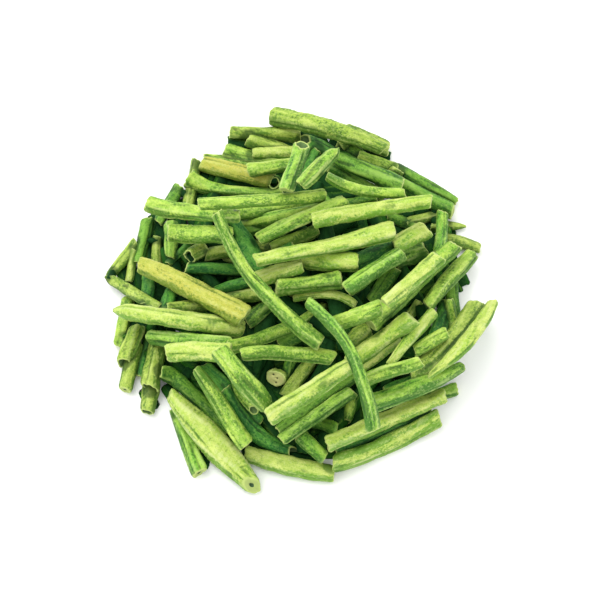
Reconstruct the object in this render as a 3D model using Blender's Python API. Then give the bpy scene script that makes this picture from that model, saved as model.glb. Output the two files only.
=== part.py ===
"""A heap of cut yardlong beans: short dried lengths lying across one another.

Each visible length is read off the photograph as a start, an end and sometimes a
point between, and is then laid on the ones below it. Units are metres unless a
name says otherwise, +Z is up, and the heap stands on z = 0.
"""
import math
import random
from collections import namedtuple

import bmesh
import bpy
import numpy as np
from mathutils import Vector

MM = 0.001

# The photograph: scale, the pixel at the heap's middle, and how steeply it looks down
MM_PER_PIXEL = 0.42
MIDDLE_PIXEL = (300, 300)
VIEW_ELEVATION_DEG = 65.0

# Lengths below this level are fused into one solid, where they sink into each other
OWN_NODE_LEVEL = 7
BITE_MM = 3.2
GAP_MM = 0.35

# How a length lies: its slope and its arch, as shares of its span
SAMPLE_STEP_MM = 1.5
STEEPEST_SLOPE = 0.45
SLOPES_TRIED = 33
MOST_ARCH = 0.14
ARCHES_TRIED = 9

# Stubs that join the lowest lengths at the rim to the rest
SURE_OVERLAP_MM = 0.8
BRIDGE_RADIUS_MM = 1.9
MOST_EDGE_SHARE = 0.4

# Hidden lengths that fill the middle of the heap: how many in each layer, and the
# circle on the picture plane that they stay in
HIDDEN_LAYERS = ((20, 66.0), (7, 42.0))
HIDDEN_MIDDLE_MM = np.array((0.0, 2.0))
HIDDEN_LENGTH_MM = (44.0, 62.0)
HIDDEN_THICKNESS_MM = 7.0
HIDDEN_SEED = 6

# Tube facets, knots along a tube, and the width of a natural tip
TUBE_RESOLUTION = 2
TUBE_SIDES = 4 + 2 * TUBE_RESOLUTION
FLAT_DOWN_TILT = math.pi / TUBE_SIDES
HIDDEN_KNOTS = 2
PLAIN_KNOTS = 4
FINE_KNOTS = 7
TIP_SHARE = 0.45

# Skin colours, linear
PALE = (0.45, 0.60, 0.16)
YELLOW = (0.55, 0.55, 0.12)
LIME = (0.28, 0.49, 0.08)
OLIVE = (0.28, 0.36, 0.10)
GREEN = (0.10, 0.31, 0.05)
MID = (0.07, 0.20, 0.04)
DEEP = (0.02, 0.11, 0.03)
SKINS = {"pale": PALE, "yellow": YELLOW, "lime": LIME, "olive": OLIVE,
         "green": GREEN, "mid": MID, "deep": DEEP}
SKIN_ROUGHNESS = 0.6

# One length: order from the ground up, two end pixels, thickness in millimetres,
# skin, a pixel that it bends through, and whether it starts in a natural tip
Bean = namedtuple("Bean", "level start end thickness skin via tip", defaults=(None, False))

FAR = (
    Bean(3, (196, 160), (187, 212), 5.0, OLIVE),
    Bean(3, (230, 131), (300, 134), 7.0, OLIVE),
    Bean(4, (248, 138), (298, 156), 6.5, OLIVE),
    Bean(4, (325, 128), (348, 130), 5.0, OLIVE),
    Bean(4, (338, 142), (368, 160), 5.5, MID),
    Bean(5, (224, 150), (283, 164), 6.5, LIME),
    Bean(5, (204, 158), (262, 166), 5.0, LIME),
    Bean(5, (304, 139), (352, 162), 6.5, DEEP),
    Bean(5, (359, 156), (398, 168), 5.0, LIME),
    Bean(5, (318, 150), (301, 176), 5.5, DEEP),
    Bean(5, (374, 198), (398, 169), 6.5, OLIVE),
    Bean(5, (330, 167), (374, 190), 5.5, MID),
    Bean(5, (340, 204), (376, 197), 4.5, MID),
    Bean(5, (240, 233), (300, 221), 5.0, MID),
    Bean(5, (243, 243), (282, 251), 6.0, OLIVE),
    Bean(6, (253, 153), (303, 151), 5.5, PALE),
    Bean(6, (202, 163), (271, 181), 8.0, YELLOW),
    Bean(6, (188, 178), (282, 192), 4.5, LIME, via=(225, 190)),
    Bean(6, (320, 196), (334, 212), 6.0, MID),
    Bean(6, (238, 226), (318, 209), 6.0, LIME),
    Bean(7, (249, 170), (294, 164), 6.5, LIME),
    Bean(7, (345, 130), (389, 148), 6.5, OLIVE),
    Bean(7, (337, 158), (402, 187), 8.0, MID, via=(365, 171)),
    Bean(7, (227, 212), (266, 272), 6.5, DEEP, via=(242, 240)),
    Bean(8, (200, 205), (323, 196), 6.0, LIME, via=(262, 202)),
    Bean(8, (273, 115), (384, 149), 7.5, OLIVE, via=(329, 128)),
    Bean(8, (302, 146), (286, 191), 6.5, GREEN),
    Bean(8, (337, 149), (301, 186), 6.0, LIME, via=(322, 166), tip=True),
    Bean(8, (327, 177), (404, 194), 5.0, LIME, via=(358, 190)),
    Bean(8, (259, 240), (345, 201), 6.0, LIME, via=(300, 220)),
    Bean(9, (256, 261), (392, 231), 8.0, PALE, via=(324, 247)),
    Bean(10, (313, 222), (430, 202), 7.0, PALE, via=(366, 211)),
    Bean(5, (341, 145), (362, 132), 5.5, OLIVE),
    Bean(5, (236, 214), (312, 204), 5.5, LIME),
    Bean(6, (274, 183), (280, 176), 5.0, GREEN),
)

LEFT = (
    Bean(2, (179, 186), (158, 222), 5.5, MID),
    Bean(2, (150, 330), (141, 376), 4.0, DEEP),
    Bean(2, (150, 272), (147, 304), 5.0, DEEP),
    Bean(3, (129, 298), (120, 346), 5.0, LIME),
    Bean(3, (138, 343), (126, 389), 6.5, OLIVE),
    Bean(3, (153, 372), (148, 411), 6.5, OLIVE),
    Bean(3, (109, 277), (136, 243), 5.5, OLIVE),
    Bean(3, (175, 280), (166, 310), 6.0, DEEP),
    Bean(4, (147, 219), (138, 262), 5.5, MID),
    Bean(4, (134, 250), (129, 281), 4.0, PALE),
    Bean(4, (157, 237), (157, 270), 4.5, OLIVE),
    Bean(4, (193, 242), (169, 264), 4.0, DEEP),
    Bean(4, (169, 309), (222, 304), 5.5, OLIVE),
    Bean(4, (139, 328), (125, 363), 6.5, OLIVE),
    Bean(4, (158, 343), (151, 387), 7.5, OLIVE),
    Bean(4, (216, 292), (263, 277), 5.0, DEEP),
    Bean(5, (206, 246), (190, 257), 6.5, OLIVE),
    Bean(5, (207, 255), (250, 247), 6.5, OLIVE),
    Bean(5, (162, 372), (228, 430), 7.0, MID, via=(188, 388)),
    Bean(6, (171, 224), (171, 257), 5.5, GREEN),
    Bean(6, (224, 260), (262, 258), 4.0, PALE),
    Bean(6, (187, 268), (248, 271), 5.5, DEEP),
    Bean(6, (105, 277), (160, 308), 5.0, OLIVE, via=(131, 291), tip=True),
    Bean(8, (168, 352), (232, 352), 7.5, PALE),
    Bean(7, (147, 204), (240, 217), 6.5, LIME, via=(188, 213)),
    Bean(7, (169, 233), (232, 236), 7.5, LIME),
    Bean(7, (114, 310), (243, 329), 9.0, PALE, via=(178, 319), tip=True),
    Bean(7, (151, 337), (232, 343), 6.0, GREEN),
    Bean(9, (140, 265), (245, 317), 8.0, YELLOW, via=(191, 288)),
)

MIDDLE = (
    Bean(5, (272, 248), (318, 230), 5.5, LIME),
    Bean(5, (220, 297), (270, 293), 6.0, OLIVE),
    Bean(5, (281, 345), (312, 327), 6.5, MID),
    Bean(6, (279, 283), (302, 299), 4.5, PALE),
    Bean(6, (248, 322), (271, 303), 7.0, GREEN),
    Bean(6, (300, 322), (325, 306), 4.0, LIME),
    Bean(7, (262, 261), (294, 246), 4.5, DEEP),
    Bean(7, (294, 298), (355, 305), 4.0, PALE, via=(327, 294)),
    Bean(7, (303, 259), (357, 263), 8.5, PALE),
    Bean(7, (254, 281), (302, 266), 6.5, PALE),
    Bean(7, (277, 288), (341, 280), 7.0, LIME),
    Bean(7, (229, 347), (296, 325), 6.0, LIME, via=(262, 338)),
    Bean(8, (243, 354), (333, 358), 6.5, LIME, via=(290, 352)),
    Bean(9.5, (330, 326), (380, 307), 7.0, LIME),
    Bean(11, (218, 214), (320, 343), 6.0, LIME, via=(254, 281)),
)

RIGHT = (
    Bean(3, (394, 166), (457, 201), 4.6, MID),
    Bean(3, (432, 226), (466, 226), 4.0, OLIVE),
    Bean(3, (451, 280), (456, 338), 6.0, MID),
    Bean(4, (388, 216), (414, 226), 4.5, MID),
    Bean(4, (440, 238), (480, 248), 6.0, OLIVE),
    Bean(4, (430, 348), (448, 302), 6.5, DEEP),
    Bean(4, (345, 266), (398, 243), 6.5, DEEP),
    Bean(5, (408, 222), (440, 214), 4.0, OLIVE),
    Bean(5, (448, 300), (454, 330), 5.0, LIME),
    Bean(5, (420, 401), (456, 388), 5.5, GREEN),
    Bean(5, (396, 262), (426, 250), 6.5, GREEN),
    Bean(5, (372, 302), (395, 268), 6.0, MID),
    Bean(5, (345, 345), (368, 329), 6.5, OLIVE),
    Bean(6, (385, 175), (453, 211), 7.0, MID),
    Bean(6, (419, 302), (400, 326), 4.0, PALE),
    Bean(7, (348, 377), (398, 339), 5.5, PALE),
    Bean(7, (443, 212), (439, 252), 5.5, GREEN),
    Bean(7, (394, 246), (427, 229), 8.5, PALE),
    Bean(7.5, (414, 351), (445, 333), 6.0, LIME),
    Bean(7, (410, 372), (476, 305), 8.0, OLIVE, via=(445, 346)),
    Bean(7, (370, 403), (461, 366), 6.5, GREEN, via=(418, 386)),
    Bean(4, (384, 392), (428, 374), 5.5, DEEP),
    Bean(8, (427, 306), (472, 254), 6.2, LIME, via=(446, 283)),
    Bean(8, (389, 363), (431, 314), 5.5, YELLOW),
    Bean(8, (492, 302), (428, 375), 6.0, PALE, via=(467, 340)),
    Bean(8, (346, 290), (401, 254), 7.5, GREEN),
    Bean(9, (347, 364), (411, 318), 8.5, PALE),
    Bean(9, (370, 324), (455, 245), 7.5, LIME),
    Bean(9, (363, 380), (419, 361), 6.0, LIME),
    Bean(10, (384, 303), (438, 257), 7.0, PALE),
)

FRONT = (
    Bean(3, (292, 352), (286, 378), 5.5, MID),
    Bean(4, (286, 395), (312, 361), 6.5, OLIVE),
    Bean(4, (203, 368), (258, 425), 8.5, DEEP),
    Bean(4, (336, 450), (430, 409), 6.5, DEEP),
    Bean(5, (276, 378), (284, 371), 8.5, PALE),
    Bean(5, (246, 452), (333, 472), 8.0, PALE, via=(284, 463)),
    Bean(5, (333, 462), (438, 416), 8.0, PALE, via=(388, 442)),
    Bean(6, (352, 393), (346, 421), 4.5, LIME),
    Bean(6, (303, 418), (336, 428), 6.5, MID),
    Bean(6, (226, 388), (294, 452), 6.5, DEEP, via=(256, 431)),
    Bean(6, (174, 409), (200, 471), 6.5, GREEN),
    Bean(7, (279, 429), (354, 377), 5.0, MID),
    Bean(7, (300, 434), (324, 456), 6.5, GREEN),
    Bean(7, (233, 378), (254, 409), 5.0, LIME),
    Bean(8, (220, 349), (267, 404), 8.5, LIME),
    Bean(8, (282, 438), (352, 391), 6.5, GREEN),
    Bean(8, (198, 369), (247, 443), 6.8, LIME),
    Bean(9, (171, 394), (252, 483), 9.5, PALE, via=(209, 437)),
    Bean(9, (327, 443), (444, 395), 7.0, PALE),
    Bean(10, (269, 416), (350, 365), 7.5, PALE),
    Bean(11, (308, 303), (372, 428), 5.5, GREEN, via=(350, 353)),
)

REGIONS = {"far": FAR, "left": LEFT, "middle": MIDDLE, "right": RIGHT, "front": FRONT}

# The picture plane: right, up in the picture, and toward the viewer
ELEVATION = math.radians(VIEW_ELEVATION_DEG)
RIGHT_WAY = np.array((1.0, 0.0, 0.0))
UP_WAY = np.array((0.0, math.sin(ELEVATION), math.cos(ELEVATION)))
VIEWER_WAY = np.array((0.0, -math.cos(ELEVATION), math.sin(ELEVATION)))


def plane_point(pixel):
    """A pixel as millimetres right and up on the picture plane."""
    right = (pixel[0] - MIDDLE_PIXEL[0]) * MM_PER_PIXEL
    up = (MIDDLE_PIXEL[1] - pixel[1]) * MM_PER_PIXEL
    return np.array((right, up))


def plane_route(start, via, end, share):
    """Points of the bow from start through via to end, at shares from 0 to 1."""
    bend = 2.0 * via - 0.5 * (start + end)
    share = share[:, None]
    return (1 - share) ** 2 * start + 2 * share * (1 - share) * bend + share ** 2 * end


def arch_shape(share):
    """A bow in height that is 0 at both ends and 1 in the middle."""
    return 4.0 * share * (1.0 - share)


class Length:
    """A bean length: straight runs between a few knots, and how it lies once laid."""

    def __init__(self, start, via, end, radius, skin, tip, fused, knots):
        self.start = start
        self.end = end
        self.radius = radius
        self.skin = skin
        self.tip = tip
        self.fused = fused
        self.knots = np.linspace(0.0, 1.0, knots)
        middle = 0.5 * (start + end) if via is None else via
        self.route = plane_route(start, middle, end, self.knots)
        self.low = 0.0
        self.slope = 0.0
        self.arch = 0.0

    def span(self):
        """How far apart the two ends are on the picture plane."""
        return np.linalg.norm(self.end - self.start)

    def shares(self):
        """Sample places along the length, from 0 to 1."""
        return np.linspace(0.0, 1.0, max(3, int(self.span() / SAMPLE_STEP_MM) + 1))

    def inner_shares(self):
        """Sample places along the length that stay a radius away from its ends."""
        edge = min(MOST_EDGE_SHARE, self.radius / self.span())
        return np.linspace(edge, 1.0 - edge, len(self.shares()))

    def flat(self, share):
        """Points on the picture plane at these shares of the length."""
        right = np.interp(share, self.knots, self.route[:, 0])
        up = np.interp(share, self.knots, self.route[:, 1])
        return np.stack((right, up), axis=1)

    def arched(self, share):
        """The arch's height at these shares, where its middle is 1."""
        return np.interp(share, self.knots, arch_shape(self.knots))

    def points(self, share):
        """Points in space, in millimetres, at these shares of the length."""
        flat = self.flat(share)
        height = self.low + self.slope * share + self.arch * self.arched(share)
        depth = (height - flat[:, 1] * UP_WAY[2]) / VIEWER_WAY[2]
        return flat[:, :1] * RIGHT_WAY + flat[:, 1:] * UP_WAY + depth[:, None] * VIEWER_WAY


def lowest_heights(length, laid):
    """The least height of each sample that clears the ground and what is laid."""
    share = length.shares()
    flat = length.flat(share)
    least = np.full(len(share), length.radius * math.cos(FLAT_DOWN_TILT))
    for other in laid:
        spots = other.points(other.shares())
        other_flat = np.stack((spots @ RIGHT_WAY, spots @ UP_WAY), axis=1)
        other_depth = spots @ VIEWER_WAY
        meeting = BITE_MM if length.fused and other.fused else -GAP_MM
        reach = length.radius + other.radius - meeting
        across = ((flat[:, None, :] - other_flat[None, :, :]) ** 2).sum(axis=2)
        near = across < reach ** 2
        if not near.any():
            continue
        rise = np.sqrt(np.where(near, reach ** 2 - across, 0.0))
        depth = np.where(near, other_depth[None, :] + rise, -np.inf).max(axis=1)
        height = depth * VIEWER_WAY[2] + flat[:, 1] * UP_WAY[2]
        least = np.maximum(least, height)
    return share, least


def lay(length, laid):
    """Rest a length on what is below, with the slope and arch that follow it best."""
    share, least = lowest_heights(length, laid)
    arched = length.arched(share)
    best = None
    for arch in np.linspace(-1.0, 1.0, ARCHES_TRIED) * MOST_ARCH * length.span():
        for slope in np.linspace(-1.0, 1.0, SLOPES_TRIED) * STEEPEST_SLOPE * length.span():
            above = least - slope * share - arch * arched
            low = above.max()
            gap = ((low - above) ** 2).mean()
            if best is None or gap < best:
                best = gap
                length.low = low
                length.slope = slope
                length.arch = arch
    laid.append(length)


def strewn(chance, reach):
    """The two ends of a length thrown at random inside a circle on the picture plane."""
    span = chance.uniform(*HIDDEN_LENGTH_MM)
    turn = chance.uniform(0.0, math.tau)
    out = reach * math.sqrt(chance.random())
    bearing = chance.uniform(0.0, math.tau)
    start = out * np.array((math.cos(bearing), math.sin(bearing)))
    end = start + span * np.array((math.cos(turn), math.sin(turn)))
    if np.linalg.norm(end) > reach:
        return strewn(chance, reach)
    return start + HIDDEN_MIDDLE_MM, end + HIDDEN_MIDDLE_MM


def hidden_lengths():
    """Lengths inside the heap, in layers that narrow upward."""
    chance = random.Random(HIDDEN_SEED)
    lengths = []
    for count, reach in HIDDEN_LAYERS:
        for _ in range(count):
            start, end = strewn(chance, reach)
            lengths.append(Length(start, None, end, 0.5 * HIDDEN_THICKNESS_MM,
                                  DEEP, False, True, HIDDEN_KNOTS))
    return lengths


def visible_lengths():
    """The lengths read off the photograph, with their names, from the ground up."""
    rows = []
    for region, beans in REGIONS.items():
        for index, bean in enumerate(beans, start=1):
            rows.append((bean.level, region, index, bean))
    rows.sort(key=lambda row: row[0])
    lengths = {}
    for level, region, index, bean in rows:
        via = None if bean.via is None else plane_point(bean.via)
        fused = level < OWN_NODE_LEVEL
        knots = PLAIN_KNOTS if fused and via is None else FINE_KNOTS
        name = f"{region}_bean_{index:02d}"
        lengths[name] = Length(plane_point(bean.start), via, plane_point(bean.end),
                               0.5 * bean.thickness, bean.skin, bean.tip, fused, knots)
    return lengths


def skin_material(name, colour):
    """A plain bean skin."""
    material = bpy.data.materials.new(name)
    material.use_nodes = True
    shader = material.node_tree.nodes["Principled BSDF"]
    shader.inputs["Base Color"].default_value = (*colour, 1.0)
    shader.inputs["Roughness"].default_value = SKIN_ROUGHNESS
    shader.inputs["Metallic"].default_value = 0.0
    return material


def tube(name, length, collection):
    """A capped round tube along a laid length."""
    points = length.points(length.knots) * MM
    curve = bpy.data.curves.new(name, "CURVE")
    curve.dimensions = "3D"
    curve.twist_mode = "Z_UP"
    curve.bevel_depth = length.radius * MM
    curve.bevel_resolution = TUBE_RESOLUTION
    curve.use_fill_caps = True
    spline = curve.splines.new("POLY")
    spline.points.add(len(points) - 1)
    for index, point in enumerate(spline.points):
        point.co = (*points[index], 1.0)
        point.tilt = FLAT_DOWN_TILT
    if length.tip:
        spline.points[0].radius = TIP_SHARE
    guide = bpy.data.objects.new(name, curve)
    collection.objects.link(guide)
    bpy.context.view_layer.update()
    evaluated = guide.evaluated_get(bpy.context.evaluated_depsgraph_get())
    mesh = bpy.data.meshes.new_from_object(evaluated)
    bpy.data.objects.remove(guide)
    return mesh


def welded(name, mesh, skin, collection):
    """An object from a tube's mesh: its caps welded on, and pressed flat at the ground."""
    shape = bmesh.new()
    shape.from_mesh(mesh)
    bmesh.ops.remove_doubles(shape, verts=shape.verts, dist=1e-6)
    for corner in shape.verts:
        corner.co.z = max(corner.co.z, 0.0)
    shape.to_mesh(mesh)
    shape.free()
    mesh.name = name
    mesh.materials.clear()
    mesh.materials.append(skin)
    mesh.shade_smooth()
    mesh.set_sharp_from_angle(angle=math.radians(50.0))
    bean = bpy.data.objects.new(name, mesh)
    collection.objects.link(bean)
    return bean


def closest(one, other):
    """The nearest points of two laid lengths, clear of their ends, and the gap."""
    first = one.points(one.inner_shares())
    second = other.points(other.inner_shares())
    apart = np.linalg.norm(first[:, None, :] - second[None, :, :], axis=2)
    row, column = np.unravel_index(apart.argmin(), apart.shape)
    return first[row], second[column], apart.min() - one.radius - other.radius


def clumps(lengths):
    """Lengths grouped with those that they run well into, the biggest group first."""
    groups = []
    for length in lengths:
        met = [group for group in groups
               if any(closest(length, other)[2] < -SURE_OVERLAP_MM for other in group)]
        joined = [length] + [other for group in met for other in group]
        groups = [group for group in groups if group not in met]
        groups.append(joined)
    return sorted(groups, key=len, reverse=True)


def bridges(lengths):
    """Short hidden lengths from each clump that lies apart to its nearest neighbour."""
    groups = clumps(lengths)
    joined = groups[0]
    added = []
    for group in groups[1:]:
        meetings = [closest(one, other) for one in group for other in joined]
        near, far, gap = min(meetings, key=lambda meeting: meeting[2])
        bridge = Length(np.array((near @ RIGHT_WAY, near @ UP_WAY)), None,
                        np.array((far @ RIGHT_WAY, far @ UP_WAY)),
                        BRIDGE_RADIUS_MM, DEEP, False, True, HIDDEN_KNOTS)
        bridge.low = near[2]
        bridge.slope = far[2] - near[2]
        added.append(bridge)
        joined = joined + group
    return added


def fuse(name, beans, collection):
    """Join overlapping lengths into one solid and drop the separate ones."""
    trunk = beans[0]
    others = bpy.data.collections.new("fused lengths")
    bpy.context.scene.collection.children.link(others)
    for bean in beans[1:]:
        collection.objects.unlink(bean)
        others.objects.link(bean)
    union = trunk.modifiers.new("join", "BOOLEAN")
    union.operation = "UNION"
    union.operand_type = "COLLECTION"
    union.collection = others
    union.solver = "MANIFOLD"
    bpy.context.view_layer.update()
    evaluated = trunk.evaluated_get(bpy.context.evaluated_depsgraph_get())
    joined = bpy.data.meshes.new_from_object(evaluated)
    trunk.modifiers.clear()
    trunk.data = joined
    trunk.name = name
    joined.name = name
    for bean in list(others.objects):
        bpy.data.objects.remove(bean)
    bpy.data.collections.remove(others)
    return trunk


def centre(beans):
    """Move the heap so that the middle of its footprint is the origin."""
    corners = np.array([bean.matrix_world @ Vector(corner) for bean in beans for corner in bean.bound_box])
    low = corners.min(axis=0)
    high = corners.max(axis=0)
    shift = Vector((-0.5 * (low[0] + high[0]), -0.5 * (low[1] + high[1]), -low[2]))
    for bean in beans:
        bean.location = shift


def main():
    for old in list(bpy.data.objects):
        bpy.data.objects.remove(old)
    heap = bpy.data.collections.new("yardlong_bean_heap")
    bpy.context.scene.collection.children.link(heap)

    laid = []
    for length in hidden_lengths():
        lay(length, laid)
    visible = visible_lengths()
    for length in visible.values():
        if length.fused:
            lay(length, laid)
    laid.extend(bridges(laid))
    lower = list(laid)
    single = {name: length for name, length in visible.items() if not length.fused}
    for length in single.values():
        lay(length, laid)

    skins = {colour: skin_material(name, colour) for name, colour in SKINS.items()}
    beans = [welded(name, tube(name, length, heap), skins[length.skin], heap)
             for name, length in single.items()]
    pieces = [welded("piece", tube("piece", length, heap), skins[length.skin], heap)
              for length in lower]
    beans.append(fuse("lower_beans", pieces, heap))
    centre(beans)


if __name__ == "__main__":
    main()
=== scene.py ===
"""The visual model of a heap of cut, dried yardlong beans.

Each length of pod is a modelled skin with seams, seed swellings, wrinkles and cut
ends. The lengths lie where the solid model's own laying rule puts them.
"""

import functools
import math
import random
from collections import namedtuple

import bpy
import numpy as np
from bpy.props import FloatProperty, FloatVectorProperty, PointerProperty
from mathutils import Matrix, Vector


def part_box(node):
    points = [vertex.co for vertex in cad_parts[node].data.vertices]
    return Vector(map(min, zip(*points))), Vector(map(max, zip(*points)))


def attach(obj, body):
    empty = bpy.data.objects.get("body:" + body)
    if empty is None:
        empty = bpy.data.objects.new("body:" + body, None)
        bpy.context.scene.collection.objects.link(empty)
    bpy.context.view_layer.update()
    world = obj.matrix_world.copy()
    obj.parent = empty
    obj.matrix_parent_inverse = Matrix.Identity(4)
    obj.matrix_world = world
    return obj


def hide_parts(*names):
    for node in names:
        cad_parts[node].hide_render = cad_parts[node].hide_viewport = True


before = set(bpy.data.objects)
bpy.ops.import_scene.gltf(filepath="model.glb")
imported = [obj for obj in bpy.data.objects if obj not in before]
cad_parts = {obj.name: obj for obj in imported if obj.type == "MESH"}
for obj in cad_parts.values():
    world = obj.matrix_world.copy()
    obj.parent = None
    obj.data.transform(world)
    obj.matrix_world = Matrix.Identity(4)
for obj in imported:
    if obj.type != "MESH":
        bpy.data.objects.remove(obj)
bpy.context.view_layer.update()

bl_info = {
    "name": "Yardlong bean heap",
    "version": (1, 0, 0),
    "blender": (4, 5, 0),
    "location": "View3D > Sidebar > Bean heap",
    "description": "A heap of cut, dried yardlong beans, laid length by length",
    "category": "Add Mesh",
}

MM = 0.001

# The photograph: scale, the pixel at the heap's middle, frame width, and viewing angle
MM_PER_PIXEL = 0.42
MIDDLE_PIXEL = (300, 300)
PHOTO_PIXELS = 600
VIEW_ELEVATION_DEG = 65.0

# The laying rule of the solid model, in millimetres and shares of a length's span
OWN_NODE_LEVEL = 7
BITE_MM = 3.2
GAP_MM = 0.35
SAMPLE_STEP_MM = 1.5
STEEPEST_SLOPE = 0.45
SLOPES_TRIED = 33
MOST_ARCH = 0.14
ARCHES_TRIED = 9
SURE_OVERLAP_MM = 0.8
BRIDGE_RADIUS_MM = 1.9
MOST_EDGE_SHARE = 0.4
DIVE_LEAN = 0.35
HIDDEN_LAYERS = ((20, 66.0), (7, 42.0))
HIDDEN_MIDDLE_MM = np.array((0.0, 2.0))
HIDDEN_LENGTH_MM = (44.0, 62.0)
HIDDEN_THICKNESS_MM = 7.0
HIDDEN_SEED = 6
TUBE_SIDES = 8
FLAT_DOWN_TILT = math.pi / TUBE_SIDES
HIDDEN_KNOTS = 2
PLAIN_KNOTS = 4
FINE_KNOTS = 7

# Skins
PALE = "pale"
YELLOW = "yellow"
LIME = "lime"
OLIVE = "olive"
GREEN = "green"
MID = "mid"
DEEP = "deep"
# The inner skin is near-black: painted shade for the lengths inside and under the heap
INNER_SHADE = "inner"
SKINS = (PALE, YELLOW, LIME, OLIVE, GREEN, MID, DEEP, INNER_SHADE)
START = "start"
END = "end"

# One length: order from the ground up, two end pixels, thickness in millimetres, skin,
# a pixel that it bends through, whether it starts in a natural tip, its hollow end, its girth
# at the start, the middle and the end as shares of the thickness, how deep green its right-hand
# side is at the start and at the end (its left-hand side where the number is negative; this dark side
# is partly the pod's own colour and partly painted shade), how far its end dives into the heap
# in millimetres, its pale flat end, and how much its skin puckers
Bean = namedtuple("Bean", "level start end thickness skin via tip hollow girth dark dive pith pucker",
                  defaults=(None, False, None, None, None, 0.0, None, 0.0))

FAR = (
    Bean(3, (196, 160), (187, 212), 5.0, OLIVE),
    Bean(3, (230, 131), (300, 134), 7.0, OLIVE),
    Bean(4, (248, 138), (298, 156), 6.5, OLIVE),
    Bean(4, (325, 128), (348, 130), 5.0, OLIVE),
    Bean(4, (338, 142), (368, 160), 5.5, MID),
    Bean(5, (224, 150), (283, 164), 6.5, LIME),
    Bean(5, (204, 158), (262, 166), 5.0, LIME),
    Bean(5, (304, 139), (352, 162), 6.5, DEEP, hollow=START),
    Bean(5, (359, 156), (398, 168), 5.0, LIME),
    Bean(5, (318, 150), (301, 176), 5.5, DEEP),
    Bean(5, (374, 198), (398, 169), 6.5, OLIVE),
    Bean(5, (330, 167), (374, 190), 5.5, MID),
    Bean(5, (340, 204), (376, 197), 4.5, MID),
    Bean(5, (240, 233), (300, 221), 5.0, MID),
    Bean(5, (243, 243), (282, 251), 6.0, OLIVE),
    Bean(6, (253, 153), (303, 151), 5.5, PALE),
    Bean(6, (202, 163), (271, 181), 8.0, YELLOW),
    Bean(6, (188, 178), (282, 192), 4.5, LIME, via=(225, 190), girth=(1.9, 1.0, 0.9)),
    Bean(6, (320, 196), (334, 212), 6.0, MID),
    Bean(6, (238, 226), (318, 209), 6.0, LIME),
    Bean(7, (249, 170), (294, 164), 6.5, LIME),
    Bean(7, (345, 130), (389, 148), 6.5, OLIVE),
    Bean(7, (337, 158), (402, 187), 8.0, MID, via=(365, 171)),
    Bean(7, (227, 212), (266, 272), 6.5, DEEP, via=(242, 240), girth=(0.8, 1.35, 1.3)),
    Bean(8, (200, 205), (323, 196), 6.0, LIME, via=(262, 202)),
    Bean(8, (273, 115), (384, 149), 7.5, OLIVE, via=(329, 128), girth=(1.1, 1.0, 0.72)),
    Bean(8, (302, 146), (286, 191), 6.5, GREEN, hollow=START),
    Bean(8, (337, 149), (301, 186), 6.0, LIME, via=(322, 166), tip=True),
    Bean(8, (327, 177), (404, 194), 5.0, LIME, via=(358, 190)),
    Bean(8, (259, 240), (345, 201), 6.0, LIME, via=(300, 220)),
    Bean(9, (256, 261), (392, 231), 8.0, PALE, via=(324, 247), girth=(0.85, 0.88, 1.2)),
    Bean(10, (313, 222), (430, 202), 7.0, PALE, via=(366, 211)),
    Bean(5, (341, 145), (362, 132), 5.5, OLIVE),
    Bean(5, (236, 214), (312, 204), 5.5, LIME),
    Bean(6, (274, 183), (280, 176), 5.0, GREEN, hollow=START, dive=10.0),
)

LEFT = (
    Bean(2, (179, 186), (158, 222), 5.5, MID),
    Bean(2, (150, 330), (141, 376), 4.0, DEEP),
    Bean(2, (150, 272), (147, 304), 5.0, DEEP),
    Bean(3, (129, 298), (120, 346), 5.0, LIME),
    Bean(3, (138, 343), (126, 389), 6.5, OLIVE, pith=END),
    Bean(3, (153, 372), (148, 411), 6.5, OLIVE, hollow=END),
    Bean(3, (109, 277), (136, 243), 5.5, OLIVE, girth=(0.6, 0.9, 0.85)),
    Bean(3, (175, 280), (166, 310), 6.0, DEEP),
    Bean(4, (147, 219), (138, 262), 5.5, MID),
    Bean(4, (134, 250), (129, 281), 4.0, PALE),
    Bean(4, (157, 237), (157, 270), 4.5, OLIVE),
    Bean(4, (193, 242), (169, 264), 4.0, DEEP),
    Bean(4, (169, 309), (222, 304), 5.5, OLIVE),
    Bean(4, (139, 328), (125, 363), 6.5, OLIVE, hollow=END),
    Bean(4, (158, 343), (151, 387), 7.5, OLIVE, hollow=END),
    Bean(4, (216, 292), (263, 277), 5.0, DEEP),
    Bean(5, (206, 246), (190, 257), 6.5, OLIVE, hollow=END),
    Bean(5, (207, 255), (250, 247), 6.5, OLIVE),
    Bean(5, (162, 372), (228, 430), 7.0, MID, via=(188, 388)),
    Bean(6, (171, 224), (171, 257), 5.5, GREEN),
    Bean(6, (224, 260), (262, 258), 4.0, PALE),
    Bean(6, (187, 268), (248, 271), 5.5, DEEP),
    Bean(6, (105, 277), (160, 308), 5.0, OLIVE, via=(131, 291), tip=True),
    Bean(8, (168, 352), (232, 352), 7.5, PALE),
    Bean(7, (147, 204), (240, 217), 6.5, LIME, via=(188, 213)),
    Bean(7, (169, 233), (232, 236), 7.5, LIME),
    Bean(7, (114, 310), (243, 329), 9.0, PALE, via=(178, 319), tip=True),
    Bean(7, (151, 337), (232, 343), 6.0, GREEN),
    Bean(9, (140, 265), (245, 317), 8.0, YELLOW, via=(191, 288), girth=(0.8, 1.0, 1.18)),
)

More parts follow.
